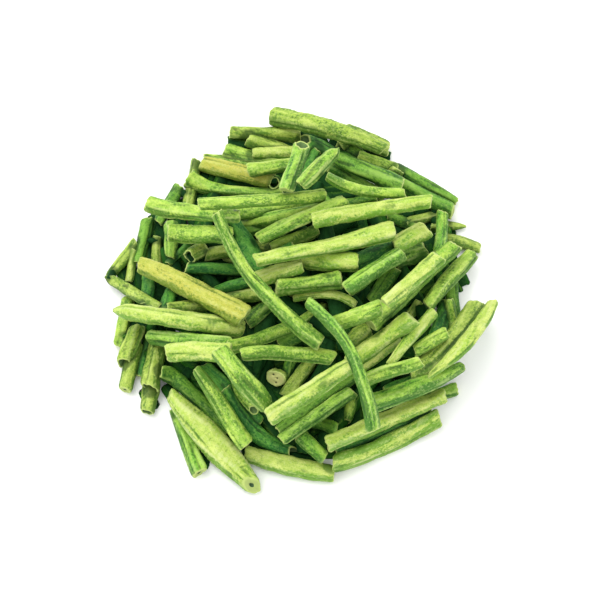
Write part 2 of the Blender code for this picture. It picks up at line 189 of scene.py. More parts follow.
MIDDLE = (
    Bean(5, (272, 248), (318, 230), 5.5, LIME),
    Bean(5, (220, 297), (270, 293), 6.0, OLIVE),
    Bean(5, (281, 345), (312, 327), 6.5, MID),
    Bean(6, (279, 283), (302, 299), 4.5, PALE),
    Bean(6, (248, 322), (271, 303), 7.0, GREEN),
    Bean(6, (300, 322), (325, 306), 4.0, LIME),
    Bean(7, (262, 261), (294, 246), 4.5, DEEP),
    Bean(7, (294, 298), (355, 305), 4.0, PALE, via=(327, 294)),
    Bean(7, (303, 259), (357, 263), 8.5, PALE),
    Bean(7, (254, 281), (302, 266), 6.5, PALE),
    Bean(7, (277, 288), (341, 280), 7.0, LIME),
    Bean(7, (229, 347), (296, 325), 6.0, LIME, via=(262, 338)),
    Bean(8, (243, 354), (333, 358), 6.5, LIME, via=(290, 352)),
    Bean(9.5, (330, 326), (380, 307), 7.0, LIME),
    Bean(11, (218, 214), (320, 343), 6.0, LIME, via=(254, 281), girth=(0.75, 0.92, 1.25),
         dark=(0.85, 1.0)),
)

RIGHT = (
    Bean(3, (394, 166), (457, 201), 4.6, MID),
    Bean(3, (432, 226), (466, 226), 4.0, OLIVE, girth=(1.0, 1.0, 0.3)),
    Bean(3, (451, 280), (456, 338), 6.0, MID),
    Bean(4, (388, 216), (414, 226), 4.5, MID),
    Bean(4, (440, 238), (480, 248), 6.0, OLIVE),
    Bean(4, (430, 348), (448, 302), 6.5, DEEP),
    Bean(4, (345, 266), (398, 243), 6.5, DEEP),
    Bean(5, (408, 222), (440, 214), 4.0, OLIVE),
    Bean(5, (448, 300), (454, 330), 5.0, LIME),
    Bean(5, (420, 401), (456, 388), 5.5, GREEN),
    Bean(5, (396, 262), (426, 250), 6.5, GREEN),
    Bean(5, (372, 302), (395, 268), 6.0, MID),
    Bean(5, (345, 345), (368, 329), 6.5, OLIVE),
    Bean(6, (385, 175), (453, 211), 7.0, MID),
    Bean(6, (419, 302), (400, 326), 4.0, PALE),
    Bean(7, (348, 377), (398, 339), 5.5, PALE),
    Bean(7, (443, 212), (439, 252), 5.5, GREEN),
    Bean(7, (394, 246), (427, 229), 8.5, PALE),
    Bean(7.5, (414, 351), (445, 333), 6.0, LIME),
    Bean(7, (410, 372), (476, 305), 8.0, OLIVE, via=(445, 346)),
    Bean(7, (370, 403), (461, 366), 6.5, GREEN, via=(418, 386), girth=(1.15, 1.1, 0.7)),
    Bean(4, (384, 392), (428, 374), 5.5, DEEP),
    Bean(8, (427, 306), (472, 254), 6.2, LIME, via=(446, 283)),
    Bean(8, (389, 363), (431, 314), 5.5, PALE, girth=(0.6, 0.95, 1.1)),
    Bean(8, (492, 302), (428, 375), 6.0, PALE, via=(467, 340), girth=(0.72, 1.05, 0.4)),
    Bean(8, (346, 290), (401, 254), 7.5, GREEN),
    Bean(9, (347, 364), (411, 318), 8.5, PALE),
    Bean(9, (370, 324), (455, 245), 7.5, LIME),
    Bean(9, (363, 380), (419, 361), 6.0, LIME),
    Bean(10, (384, 303), (438, 257), 7.0, PALE),
)

FRONT = (
    Bean(3, (292, 352), (286, 378), 5.5, MID),
    Bean(4, (286, 395), (312, 361), 6.5, OLIVE),
    Bean(4, (203, 368), (258, 425), 8.5, DEEP),
    Bean(4, (336, 450), (430, 409), 6.5, DEEP),
    Bean(5, (276, 378), (284, 371), 8.5, PALE, dive=16.0, girth=(1.08, 1.0, 1.0)),
    Bean(5, (246, 452), (333, 472), 8.0, PALE, via=(284, 463), girth=(0.85, 1.0, 0.92)),
    Bean(5, (333, 462), (438, 416), 8.0, PALE, via=(388, 442), dark=(-0.7, -0.5),
         girth=(0.95, 0.9, 0.85)),
    Bean(6, (352, 393), (346, 421), 4.5, LIME, hollow=END),
    Bean(6, (303, 418), (336, 428), 6.5, MID),
    Bean(6, (226, 388), (294, 452), 6.5, DEEP, via=(256, 431), hollow=END),
    Bean(6, (174, 409), (200, 471), 6.5, GREEN, pith=END, girth=(0.6, 0.92, 1.1)),
    Bean(7, (279, 429), (354, 377), 5.0, MID),
    Bean(7, (300, 434), (324, 456), 6.5, GREEN),
    Bean(7, (233, 378), (254, 409), 5.0, LIME, hollow=END, girth=(0.45, 1.0, 0.85)),
    Bean(8, (220, 349), (267, 404), 8.5, LIME),
    Bean(8, (282, 438), (352, 391), 6.5, GREEN),
    Bean(8, (198, 369), (247, 443), 6.8, LIME, girth=(0.65, 1.0, 1.1)),
    Bean(9, (171, 394), (252, 483), 9.5, PALE, via=(209, 437), pith=END,
         girth=(0.58, 1.2, 0.72), pucker=0.6),
    Bean(9, (327, 443), (444, 395), 7.0, PALE),
    Bean(10, (269, 416), (350, 365), 7.5, PALE),
    Bean(11, (308, 303), (372, 428), 5.5, GREEN, via=(350, 353), dark=(1.0, 0.8),
         girth=(1.0, 0.95, 1.1)),
)

REGIONS = {"far": FAR, "left": LEFT, "middle": MIDDLE, "right": RIGHT, "front": FRONT}

# The picture plane: right, up in the picture, and toward the viewer
ELEVATION = math.radians(VIEW_ELEVATION_DEG)
RIGHT_WAY = np.array((1.0, 0.0, 0.0))
UP_WAY = np.array((0.0, math.sin(ELEVATION), math.cos(ELEVATION)))
VIEWER_WAY = np.array((0.0, -math.cos(ELEVATION), math.sin(ELEVATION)))


def plane_point(pixel):
    """A pixel as millimetres right and up on the picture plane."""
    right = (pixel[0] - MIDDLE_PIXEL[0]) * MM_PER_PIXEL
    up = (MIDDLE_PIXEL[1] - pixel[1]) * MM_PER_PIXEL
    return np.array((right, up))


def plane_route(start, via, end, share):
    """Points of the bow from start through via to end, at shares from 0 to 1."""
    bend = 2.0 * via - 0.5 * (start + end)
    share = share[:, None]
    return (1 - share) ** 2 * start + 2 * share * (1 - share) * bend + share ** 2 * end


def arch_shape(share):
    """A bow in height that is 0 at both ends and 1 in the middle."""
    return 4.0 * share * (1.0 - share)


class Length:
    """A bean length: straight runs between a few knots, and how it lies once laid."""

    def __init__(self, start, via, end, radius, fused, knots, bean=None):
        self.start = start
        self.via = 0.5 * (start + end) if via is None else via
        self.end = end
        self.radius = radius
        self.fused = fused
        self.bean = bean
        self.knots = np.linspace(0.0, 1.0, knots)
        self.route = plane_route(start, self.via, end, self.knots)
        self.low = 0.0
        self.slope = 0.0
        self.arch = 0.0

    def span(self):
        """How far apart the two ends are on the picture plane."""
        return np.linalg.norm(self.end - self.start)

    def shares(self):
        """Sample places along the length, from 0 to 1."""
        return np.linspace(0.0, 1.0, max(3, int(self.span() / SAMPLE_STEP_MM) + 1))

    def inner_shares(self):
        """Sample places along the length that stay a radius away from its ends."""
        edge = min(MOST_EDGE_SHARE, self.radius / self.span())
        return np.linspace(edge, 1.0 - edge, len(self.shares()))

    def flat(self, share):
        """Points on the picture plane at these shares of the length."""
        right = np.interp(share, self.knots, self.route[:, 0])
        up = np.interp(share, self.knots, self.route[:, 1])
        return np.stack((right, up), axis=1)

    def arched(self, share):
        """The arch's height at these shares, where its middle is 1."""
        return np.interp(share, self.knots, arch_shape(self.knots))

    def raised(self, flat, height):
        """Points in space over points on the picture plane, at these heights."""
        depth = (height - flat[:, 1] * UP_WAY[2]) / VIEWER_WAY[2]
        return flat[:, :1] * RIGHT_WAY + flat[:, 1:] * UP_WAY + depth[:, None] * VIEWER_WAY

    def points(self, share):
        """Points in space along the straight runs, in millimetres."""
        height = self.low + self.slope * share + self.arch * self.arched(share)
        return self.raised(self.flat(share), height)

    def smooth_points(self, share):
        """Points in space along the smooth bow through the knots, in millimetres."""
        flat = plane_route(self.start, self.via, self.end, share)
        bow = self.arch if len(self.knots) > HIDDEN_KNOTS else 0.0
        return self.raised(flat, self.low + self.slope * share + bow * arch_shape(share))


def lowest_heights(length, laid):
    """The least height of each sample that clears the ground and what is laid."""
    share = length.shares()
    flat = length.flat(share)
    least = np.full(len(share), length.radius * math.cos(FLAT_DOWN_TILT))
    for other in laid:
        spots = other.points(other.shares())
        other_flat = np.stack((spots @ RIGHT_WAY, spots @ UP_WAY), axis=1)
        other_depth = spots @ VIEWER_WAY
        meeting = BITE_MM if length.fused and other.fused else -GAP_MM
        reach = length.radius + other.radius - meeting
        across = ((flat[:, None, :] - other_flat[None, :, :]) ** 2).sum(axis=2)
        near = across < reach ** 2
        if not near.any():
            continue
        rise = np.sqrt(np.where(near, reach ** 2 - across, 0.0))
        depth = np.where(near, other_depth[None, :] + rise, -np.inf).max(axis=1)
        height = depth * VIEWER_WAY[2] + flat[:, 1] * UP_WAY[2]
        least = np.maximum(least, height)
    return share, least


def lay(length, laid):
    """Rest a length on what is below, with the slope and arch that follow it best."""
    share, least = lowest_heights(length, laid)
    arched = length.arched(share)
    best = None
    for arch in np.linspace(-1.0, 1.0, ARCHES_TRIED) * MOST_ARCH * length.span():
        for slope in np.linspace(-1.0, 1.0, SLOPES_TRIED) * STEEPEST_SLOPE * length.span():
            above = least - slope * share - arch * arched
            low = above.max()
            gap = ((low - above) ** 2).mean()
            if best is None or gap < best:
                best = gap
                length.low = low
                length.slope = slope
                length.arch = arch
    laid.append(length)


def strewn(chance, reach):
    """The two ends of a length thrown at random inside a circle on the picture plane."""
    span = chance.uniform(*HIDDEN_LENGTH_MM)
    turn = chance.uniform(0.0, math.tau)
    out = reach * math.sqrt(chance.random())
    bearing = chance.uniform(0.0, math.tau)
    start = out * np.array((math.cos(bearing), math.sin(bearing)))
    end = start + span * np.array((math.cos(turn), math.sin(turn)))
    if np.linalg.norm(end) > reach:
        return strewn(chance, reach)
    return start + HIDDEN_MIDDLE_MM, end + HIDDEN_MIDDLE_MM


def hidden_lengths():
    """Lengths inside the heap, in layers that narrow upward."""
    chance = random.Random(HIDDEN_SEED)
    lengths = []
    for count, reach in HIDDEN_LAYERS:
        for _ in range(count):
            start, end = strewn(chance, reach)
            lengths.append(Length(start, None, end, 0.5 * HIDDEN_THICKNESS_MM, True, HIDDEN_KNOTS))
    return lengths


def visible_lengths():
    """The lengths read off the photograph, with their names, from the ground up."""
    rows = []
    for region, beans in REGIONS.items():
        for index, bean in enumerate(beans, start=1):
            rows.append((bean.level, region, index, bean))
    rows.sort(key=lambda row: row[0])
    lengths = {}
    for level, region, index, bean in rows:
        via = None if bean.via is None else plane_point(bean.via)
        fused = level < OWN_NODE_LEVEL
        knots = PLAIN_KNOTS if fused and via is None else FINE_KNOTS
        lengths[f"{region}_bean_{index:02d}"] = Length(
            plane_point(bean.start), via, plane_point(bean.end),
            0.5 * bean.thickness, fused, knots, bean)
    return lengths


def closest(one, other):
    """The nearest points of two laid lengths, clear of their ends, and the gap."""
    first = one.points(one.inner_shares())
    second = other.points(other.inner_shares())
    apart = np.linalg.norm(first[:, None, :] - second[None, :, :], axis=2)
    row, column = np.unravel_index(apart.argmin(), apart.shape)
    return first[row], second[column], apart.min() - one.radius - other.radius


def clumps(lengths):
    """Lengths grouped with those that they run well into, the biggest group first."""
    groups = []
    for length in lengths:
        met = [group for group in groups
               if any(closest(length, other)[2] < -SURE_OVERLAP_MM for other in group)]
        joined = [length] + [other for group in met for other in group]
        groups = [group for group in groups if group not in met]
        groups.append(joined)
    return sorted(groups, key=len, reverse=True)


def bridges(lengths):
    """Short hidden lengths from each clump that lies apart to its nearest neighbour."""
    groups = clumps(lengths)
    joined = groups[0]
    added = []
    for group in groups[1:]:
        meetings = [closest(one, other) for one in group for other in joined]
        near, far, gap = min(meetings, key=lambda meeting: meeting[2])
        bridge = Length(np.array((near @ RIGHT_WAY, near @ UP_WAY)), None,
                        np.array((far @ RIGHT_WAY, far @ UP_WAY)),
                        BRIDGE_RADIUS_MM, True, HIDDEN_KNOTS)
        bridge.low = near[2]
        bridge.slope = far[2] - near[2]
        added.append(bridge)
        joined = joined + group
    return added


def stand_on_end(length):
    """Let a length's end sink into the heap while its start stays and faces the viewer."""
    length.end = length.start + DIVE_LEAN * (length.end - length.start)
    length.via = 0.5 * (length.start + length.end)
    length.route = plane_route(length.start, length.via, length.end, length.knots)
    length.slope = max(length.radius, length.low - length.bean.dive) - length.low
    length.arch = 0.0


@functools.lru_cache(maxsize=1)
def laid_heap():
    """The hidden lengths and the named visible ones, all laid, and the heap's shift."""
    laid = []
    for length in hidden_lengths():
        lay(length, laid)
    visible = visible_lengths()
    for length in visible.values():
        if length.fused:
            lay(length, laid)
    laid.extend(bridges(laid))
    hidden = [length for length in laid if length.bean is None]
    for length in visible.values():
        if not length.fused:
            lay(length, laid)
    shift = heap_shift(visible)
    for length in visible.values():
        if length.bean.dive:
            stand_on_end(length)
    return hidden, visible, shift


def heap_shift(visible):
    """How far the solid model stands from the laid lengths, in millimetres."""
    steps = []
    for name, length in visible.items():
        if length.fused:
            continue
        low, high = (np.array(corner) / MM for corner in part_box(name))
        knots = length.points(length.knots)
        steps.append(0.5 * (low + high) - 0.5 * (knots.min(axis=0) + knots.max(axis=0)))
    shift = np.median(steps, axis=0)
    return np.array((shift[0], shift[1], 0.0))


# Short lengths strewn under the laid ones: how many, how far out, their height and thickness
UNDER_LAYERS = ((90, 71.0, 3.0), (45, 62.0, 8.5), (34, 52.0, 14.0), (26, 44.0, 20.0), (18, 34.0, 26.0))
UNDER_THICKNESS_MM = 6.0
UNDER_SEED = 11

# Dark lengths on the table, where the photograph shows depth and not the table between the pods; they are
# painted near-black, standing in for the shade there
GAPS = (
    ((222, 436), (272, 452)),
    ((436, 250), (458, 292)),
    ((446, 248), (464, 286)),
    ((258, 412), (280, 440)),
    ((176, 362), (196, 380)),
    ((160, 212), (146, 250)),
    ((152, 216), (166, 246)),
    ((228, 142), (252, 147)),
    ((284, 456), (318, 460)),
    ((192, 192), (218, 200)),
    ((150, 286), (166, 294)),
    ((190, 448), (206, 468)),
    ((136, 270), (142, 290)),
    ((166, 386), (180, 406)),
    ((148, 242), (149, 262)),
    ((362, 152), (390, 158)),
    ((226, 182), (246, 192)),
    ((298, 134), (316, 140)),
    ((198, 175), (212, 178)),
    ((258, 320), (272, 326)),
    ((268, 187), (284, 190)),
    ((143, 392), (155, 408)),
    ((130, 298), (142, 304)),
    ((168, 220), (184, 221)),
    ((246, 327), (262, 331)),
    ((202, 444), (204, 466)),
    ((430, 266), (442, 290)),
    ((432, 290), (446, 316)),
    ((420, 222), (434, 228)),
    ((156, 250), (164, 268)),
    ((150, 294), (166, 298)),
    ((154, 280), (168, 288)),
    ((274, 392), (290, 398)),
    ((182, 358), (196, 366)),
    ((194, 196), (198, 208)),
    ((120, 266), (124, 280)),
    ((321, 452), (335, 452)),
    ((392, 230), (406, 231)),
    ((282, 143), (294, 144)),
    ((126, 283), (137, 284)),
    ((400, 213), (413, 213)),
    ((126, 322), (134, 328)),
)
GAP_HEIGHT_MM = 3.0

# How far a hidden length must lie behind a visible one where it comes near it in the photograph,
# both as shares of their two radii, and how it is lowered until it does
BEHIND_SHARE = 0.35
NEAR_SHARE = 0.9
LOWERING_MM = 0.8
LOWEST_MM = -1.4


def hides(length, visible):
    """Whether a length would cover a visible one in the photograph."""
    share = length.shares()
    flat = length.flat(share)
    depth = length.points(share) @ VIEWER_WAY
    for other in visible:
        spots = other.points(other.shares())
        reach = length.radius + other.radius
        across = np.hypot(flat[:, None, 0] - spots @ RIGHT_WAY, flat[:, None, 1] - spots @ UP_WAY)
        above = depth[:, None] > spots @ VIEWER_WAY - BEHIND_SHARE * reach
        if (above & (across < NEAR_SHARE * reach)).any():
            return True
    return False


def sunk(length, height):
    """The length at this height, or as much lower as shows every visible one."""
    visible = list(laid_heap()[1].values())
    length.low = height
    while length.low > LOWEST_MM and hides(length, visible):
        length.low -= LOWERING_MM
    return length


def under_lengths():
    """Lengths that close the gaps of the heap from below, lying flat in loose layers, painted near-black as
    the shade inside the heap.
    """
    chance = random.Random(UNDER_SEED)
    lengths = []
    for count, reach, height in UNDER_LAYERS:
        for _ in range(count):
            start, end = strewn(chance, reach)
            length = Length(start, None, end, 0.5 * UNDER_THICKNESS_MM, True, HIDDEN_KNOTS)
            lengths.append(sunk(length, height))
    for start, end in GAPS:
        length = Length(plane_point(start), None, plane_point(end), 0.5 * UNDER_THICKNESS_MM,
                        True, HIDDEN_KNOTS)
        lengths.append(sunk(length, GAP_HEIGHT_MM))
    return lengths


# The pod's surface: millimetres where the name says so, turns round the pod in radians, rates in
# radians a millimetre, and else shares of the pod's radius
FAR_PLACE_MM = 400.0
ROUGH_STEPS = 40
FEWEST_RINGS = 6
SWAYS = 2
SWAY_RATE = (0.06, 0.17)
END_GIRTH = (0.86, 1.06)
MIDDLE_GIRTH = (0.95, 1.07)
SHRIVEL = (0.5, 1.7)
SEED_SPACING_MM = 9.5
SEED_REACH_MM = 2.9
SEAM_TURN = (0.3, 1.2)
SEAM_WIDTH = 0.11
SECOND_SEAM = 0.7
LIP_PLACE = 0.26
LIP_WIDTH = 0.13
LIP_HEIGHT = 0.45
DENT_SPACING_MM = 7.0
DENT_EDGE_MM = 2.0
DENT_REACH_MM = (1.5, 5.0)
DENT_WIDTH = (0.25, 0.6)
DENT_DEPTH = (0.02, 0.085)
SECTION_SHARES = ((2, 0.11), (3, 0.06), (4, 0.045))
SECTION_TWIST = 0.9
GIRTH_WAVE = 0.04
WRINKLES = 8
WRINKLE_LOBES = (2, 9)
WRINKLE_RATE = (0.03, 0.22)
CRINKLES = 26
CRINKLE_LENGTH_MM = (1.6, 6.0)
MOST_CRINKLE_LOBES = 7
PUCKERS = 3
PUCKER_MM = 2.4
PUCKER_DEPTH = 0.06
TIP_REACH = 2.2
TIP_SHARE = 0.16

# The cuts: how far a lean and the rags reach along the pod, how much a cut leans, how an opening
# leans where it faces away by more than this, and how much of the lean an open cut keeps
SLANT_REACH = 2.5
RAG_REACH_MM = 1.6
RAG_LOBES = range(2, 8)
LEAST_LEAN = -0.2
MOST_LEAN = 1.1
LEAN_KEPT = (0.65, 1.05)
STRAY_LEAN = 0.3
LEAST_FACING = 0.25
OPENING_LEAN = -0.8
OPEN_LEAN_KEPT = 0.15

# The side turned to the key light, while the side turned away from it gets painted shade as more dark green
# grain: how far off it the painted shade starts and where it is full, and how dark a pod's dark side is
# (partly its own colour and partly painted shade) and over how much of the turn it comes in
PAINTED_LIGHT_WAY = np.array((-0.25, 0.25, 0.935))
PAINTED_SHADE_TOP = 0.85
PAINTED_SHADE_FOOT = 0.0
DARK_SIDE = 1.6
DARK_SIDE_START = 0.05
DARK_SIDE_REACH = 0.25

# Where another length lies this near, the skin is painted darker green as the shade between the pods
CONTACT_SHADE_MM = (0.0, 1.2)

# How far before a cut the skin starts to round over, and how much it has drawn in at the cut
ROUND_REACH_MM = 0.9
ROUND_SHARE = 0.10

# A cut end's rings: share of the radius, and how far they stand out, from the rim inward
PLAIN_CAP = ((0.94, 0.20), (0.85, 0.30), (0.72, 0.28), (0.56, 0.10), (0.34, -0.12), (0.10, -0.20))
HIDDEN_CAP = ((0.90, 0.30), (0.50, 0.20))
PITH_CAP = ((0.95, 0.20), (0.86, 0.34), (0.68, 0.28), (0.48, 0.18), (0.26, 0.06), (0.17, -1.05),
            (0.06, -1.30))
HOLLOW_CAP = ((0.96, 0.16), (0.88, 0.22), (0.78, 0.05), (0.72, -1.20), (0.64, -4.00), (0.20, -4.60))
HOLLOW_FROM_MM = -1.0

# The end that faces the viewer: its rings, its seeds as (share of the radius, turn), their size,
# and how much of a pod's uneven section it keeps
FACE_CAP = ((0.96, 0.25), (0.90, 0.34), (0.82, 0.26), (0.74, 0.18), (0.66, 0.16), (0.58, 0.15),
            (0.50, 0.15), (0.42, 0.16), (0.34, 0.18), (0.26, 0.19), (0.18, 0.20), (0.08, 0.20))
FACE_SEEDS = ((0.10, 0.5), (0.52, 2.5), (0.50, 5.1))
FACE_SEED_SHARE = 0.13
FACE_SEED_DEPTH_MM = 0.9
ROUND_FACE = 0.25

# How far from the heap's middle the painted shade on the inner lengths starts to give way to their mid
# green and is gone, and how far their sides must face outward for it
LIT_MM = (22.0, 48.0)
LIT_FACING = (0.25, 0.75)

# How finely a pod is modelled: the step between rings and the points round a ring
Fineness = namedtuple("Fineness", "ring_step_mm sides")
TOP_FINENESS = Fineness(0.75, 36)
LOWER_FINENESS = Fineness(1.05, 28)
HIDDEN_FINENESS = Fineness(3.6, 12)


def unit(vectors):
    """Vectors scaled to length 1."""
    return vectors / np.linalg.norm(vectors, axis=-1, keepdims=True)


def turned(angle):
    """An angle brought between minus and plus half a turn."""
    return (angle + math.pi) % math.tau - math.pi


class Pod:
    """One pod's skin as rings of points, with the values that paint it."""

    def __init__(self, name, length, fineness, settings):
        self.chance = random.Random(name)
        self.length = length
        self.settings = settings
        self.sides = fineness.sides
        self.tip = length.bean is not None and length.bean.tip
        self.hollow = None if length.bean is None else length.bean.hollow
        self.pith = None if length.bean is None else length.bean.pith
        self.face = length.bean is not None and length.bean.dive > 0.0 and self.hollow is None
        self.skin = INNER_SHADE if length.bean is None else length.bean.skin
        self.place = np.array([self.chance.uniform(-FAR_PLACE_MM, FAR_PLACE_MM) for _ in range(3)])
        self.tint = self.chance.uniform(0.0, 1.0)
        self.shrivel = self.chance.uniform(*SHRIVEL)
        self.turn = np.linspace(0.0, math.tau, self.sides, endpoint=False)[None, :]
        self.measure(fineness.ring_step_mm)
        self.shape()
        self.cap()

    def measure(self, step):
        """Ring centres with their axes, and how far along the pod each stands."""
        rough = self.length.smooth_points(np.linspace(0.0, 1.0, ROUGH_STEPS))
        self.total = np.linalg.norm(np.diff(rough, axis=0), axis=1).sum()
        self.share = np.linspace(0.0, 1.0, max(FEWEST_RINGS, int(self.total / step)))
        centres = self.length.smooth_points(self.share)
        self.axis = unit(np.gradient(centres, axis=0))
        self.front = unit(VIEWER_WAY - (self.axis @ VIEWER_WAY)[:, None] * self.axis)
        self.side = np.cross(self.axis, self.front)
        self.along = (self.share * self.total)[:, None]
        ease = np.sin(math.pi * self.share)
        for _ in range(SWAYS):
            rate = self.chance.uniform(*SWAY_RATE)
            phase = self.chance.uniform(0.0, math.tau)
            way = self.chance.uniform(0.0, math.tau)
            swing = self.settings.sway / MM * ease * np.sin(rate * self.along[:, 0] + phase)
            aside = math.cos(way) * self.front + math.sin(way) * self.side
            centres = centres + swing[:, None] * aside
        self.centres = centres

    def girth(self):
        """How the pod thickens and thins from its start over its middle to its end."""
        bean = self.length.bean
        if bean is None or bean.girth is None:
            shares = [self.chance.uniform(*limits) for limits in (END_GIRTH, MIDDLE_GIRTH, END_GIRTH)]
        else:
            shares = bean.girth
        start, middle, end = shares
        share = self.share[:, None]
        return (start * (1 - share) * (1 - 2 * share) + 4 * middle * share * (1 - share)
                + end * share * (2 * share - 1))

    def crinkles(self):
        """Fine folds in every direction, as a skin that dried makes them."""
        out = np.zeros((len(self.share), self.sides))
        for _ in range(CRINKLES):
            wave = math.tau / self.chance.uniform(*CRINKLE_LENGTH_MM)
            lobes = self.chance.randint(-MOST_CRINKLE_LOBES, MOST_CRINKLE_LOBES)
            phase = self.chance.uniform(0.0, math.tau)
            drift = self.chance.uniform(0.1, 0.3)
            bend = 1.2 * np.sin(drift * self.along + 3.0 * phase)
            out += np.cos(wave * self.along + lobes * self.turn + phase + bend)
        out /= math.sqrt(0.5 * CRINKLES)
        return self.settings.crinkle_depth * (1.0 - np.abs(out))

    def wrinkles(self):
        """Long wrinkles that wander along the pod."""
        out = np.zeros((len(self.share), self.sides))
        for _ in range(WRINKLES):
            around = self.chance.randint(*WRINKLE_LOBES)
            rate = self.chance.uniform(*WRINKLE_RATE)
            phase = self.chance.uniform(0.0, math.tau)
            drift = self.chance.uniform(0.06, 0.2)
            bend = 1.5 * np.sin(drift * self.along + 2.0 * phase)
            size = self.chance.uniform(0.4, 1.0) / (0.7 + 0.16 * around)
            out += size * np.cos(around * self.turn + rate * self.along + phase + bend)
        return self.shrivel * self.settings.wrinkle_depth * out

    def section(self):
        """A shrunken, cornered cross-section that turns a little along the pod."""
        out = 0.0
        for corners, most in SECTION_SHARES:
            size = self.chance.uniform(0.3, 1.0) * self.shrivel * most
            way = self.chance.uniform(0.0, math.tau)
            twist = self.chance.uniform(-SECTION_TWIST, SECTION_TWIST) * (self.share[:, None] - 0.5)
            out = out + size * np.cos(corners * (self.turn - way - twist))
        rate = self.chance.uniform(0.12, 0.3)
        phase = self.chance.uniform(0.0, math.tau)
        out = out + GIRTH_WAVE * np.sin(rate * self.along + phase)
        return ROUND_FACE * out if self.face else out

    def swellings(self):
        """The seeds, which swell the pod at even steps."""
        phase = self.chance.uniform(0.0, 1.0)
        depth = self.settings.seed_swelling * self.chance.uniform(0.3, 1.4)
        off = ((self.along / SEED_SPACING_MM + phase) % 1.0 - 0.5) * SEED_SPACING_MM
        return depth * (np.exp(-(off / SEED_REACH_MM) ** 2) - 0.5)

    def seams(self):
        """The two seams as grooves with raised lips, and where the grooves are."""
        start = self.chance.choice((-1.0, 1.0)) * self.chance.uniform(*SEAM_TURN)
        twist = self.chance.uniform(-0.5, 0.5)
        out = np.zeros((len(self.share), self.sides))
        groove_mask = np.zeros_like(out)
        for turn, depth in ((start, 1.0), (start + math.pi, SECOND_SEAM)):
            off = turned(self.turn - turn - twist * (self.share[:, None] - 0.5))
            groove = np.exp(-(off / SEAM_WIDTH) ** 2)
            lips = np.exp(-((np.abs(off) - LIP_PLACE) / LIP_WIDTH) ** 2)
            out += depth * self.settings.seam_depth * (LIP_HEIGHT * lips - groove)
            groove_mask = np.maximum(groove_mask, depth * groove)
        return out, groove_mask

    def dents(self):
        """Shallow hollows where the pod dried in."""
        out = np.zeros((len(self.share), self.sides))
        for _ in range(int(self.total / DENT_SPACING_MM)):
            last = max(DENT_EDGE_MM + 0.1, self.total - DENT_EDGE_MM)
            place = self.chance.uniform(DENT_EDGE_MM, last)
            reach = self.chance.uniform(*DENT_REACH_MM)
            width = self.chance.uniform(*DENT_WIDTH)
            depth = self.chance.uniform(*DENT_DEPTH)
            off = turned(self.turn - self.chance.uniform(-math.pi, math.pi))
            out -= depth * np.exp(-((self.along - place) / reach) ** 2 - (off / width) ** 2)
        return out

    def puckers(self):
        """Short folds across the pod, as where it dried over its seeds."""
        bean = self.length.bean
        if bean is None or not bean.pucker:
            return 0.0
        out = 0.0
        for _ in range(PUCKERS):
            wave = math.pi / (PUCKER_MM * self.chance.uniform(0.7, 1.3))
            phase = self.chance.uniform(0.0, math.tau)
            bend = 1.1 * np.sin(2.0 * self.turn + phase) + 0.8 * np.sin(0.35 * self.along + phase)
            out = out + 0.45 - np.abs(np.sin(wave * self.along + bend + phase))
        fading = 0.5 + 0.5 * np.sin(0.21 * self.along + self.turn)
        return -bean.pucker * PUCKER_DEPTH * fading * out

    def taper(self):
        """How the pod narrows toward a natural tip at its start."""
        if not self.tip:
            return 1.0
        reach = np.clip(self.along / (TIP_REACH * self.length.radius), 0.0, 1.0)
        return TIP_SHARE + (1.0 - TIP_SHARE) * np.sin(0.5 * math.pi * reach) ** 0.8

    def rounding(self):
        """How the skin draws in at its cuts, so that they have no sharp corner."""
        near = np.minimum(self.along if not self.tip else self.total, self.total - self.along)
        return 1.0 - ROUND_SHARE * np.clip(1.0 - near / ROUND_REACH_MM, 0.0, 1.0) ** 2

    def slant(self):
        """How far each point moves along the pod, so that the cuts aren't square.

        Most cuts lean so that the photograph shows them edge on; a hollow end stays open.
        """
        reach = SLANT_REACH * self.length.radius
        move = 0.0
        for name, way, distance, axis in ((START, -1.0, self.along, self.axis[0]),
                                          (END, 1.0, self.total - self.along, self.axis[-1])):
            facing = way * (axis @ VIEWER_WAY)
            lean = np.clip(facing / math.sqrt(1.0 - facing ** 2), LEAST_LEAN, MOST_LEAN)
            opening = self.hollow == name or self.pith == name
            if opening and facing < LEAST_FACING:
                lean = OPENING_LEAN
            else:
                lean *= OPEN_LEAN_KEPT if opening else self.chance.uniform(*LEAN_KEPT)
            if self.face and name == START:
                lean = 0.0
            stray = self.chance.uniform(-STRAY_LEAN, STRAY_LEAN)
            ease = np.clip(1.0 - distance / reach, 0.0, 1.0)
            cut = way * lean * np.cos(self.turn) + stray * np.sin(self.turn)
            move = move + ease * self.length.radius * cut
            ease = np.clip(1.0 - distance / RAG_REACH_MM, 0.0, 1.0)
            for lobes in RAG_LOBES:
                size = self.chance.uniform(0.0, 1.0) * self.settings.ragged_cut / MM
                phase = self.chance.uniform(0.0, math.tau)
                move = move + ease * size * np.cos(lobes * self.turn + phase)
        return move

    def shape(self):
        """The skin's rings between the two cuts."""
        folds = self.wrinkles() + self.dents() + self.crinkles() + self.puckers()
        seam_out, self.seam = self.seams()
        out = folds + seam_out + self.swellings() + self.section() - 0.02
        self.relief = (folds + seam_out) / self.settings.relief_span
        radius = self.length.radius * self.taper() * self.rounding() * self.girth() * (1.0 + out)
        way = (np.cos(self.turn)[..., None] * self.front[:, None]
               + np.sin(self.turn)[..., None] * self.side[:, None])
        # Painted shade: the side turned away from the key light gets more dark green grain
        self.flank = np.clip((PAINTED_SHADE_TOP - way @ PAINTED_LIGHT_WAY) / (PAINTED_SHADE_TOP - PAINTED_SHADE_FOOT), 0.0, 1.0)
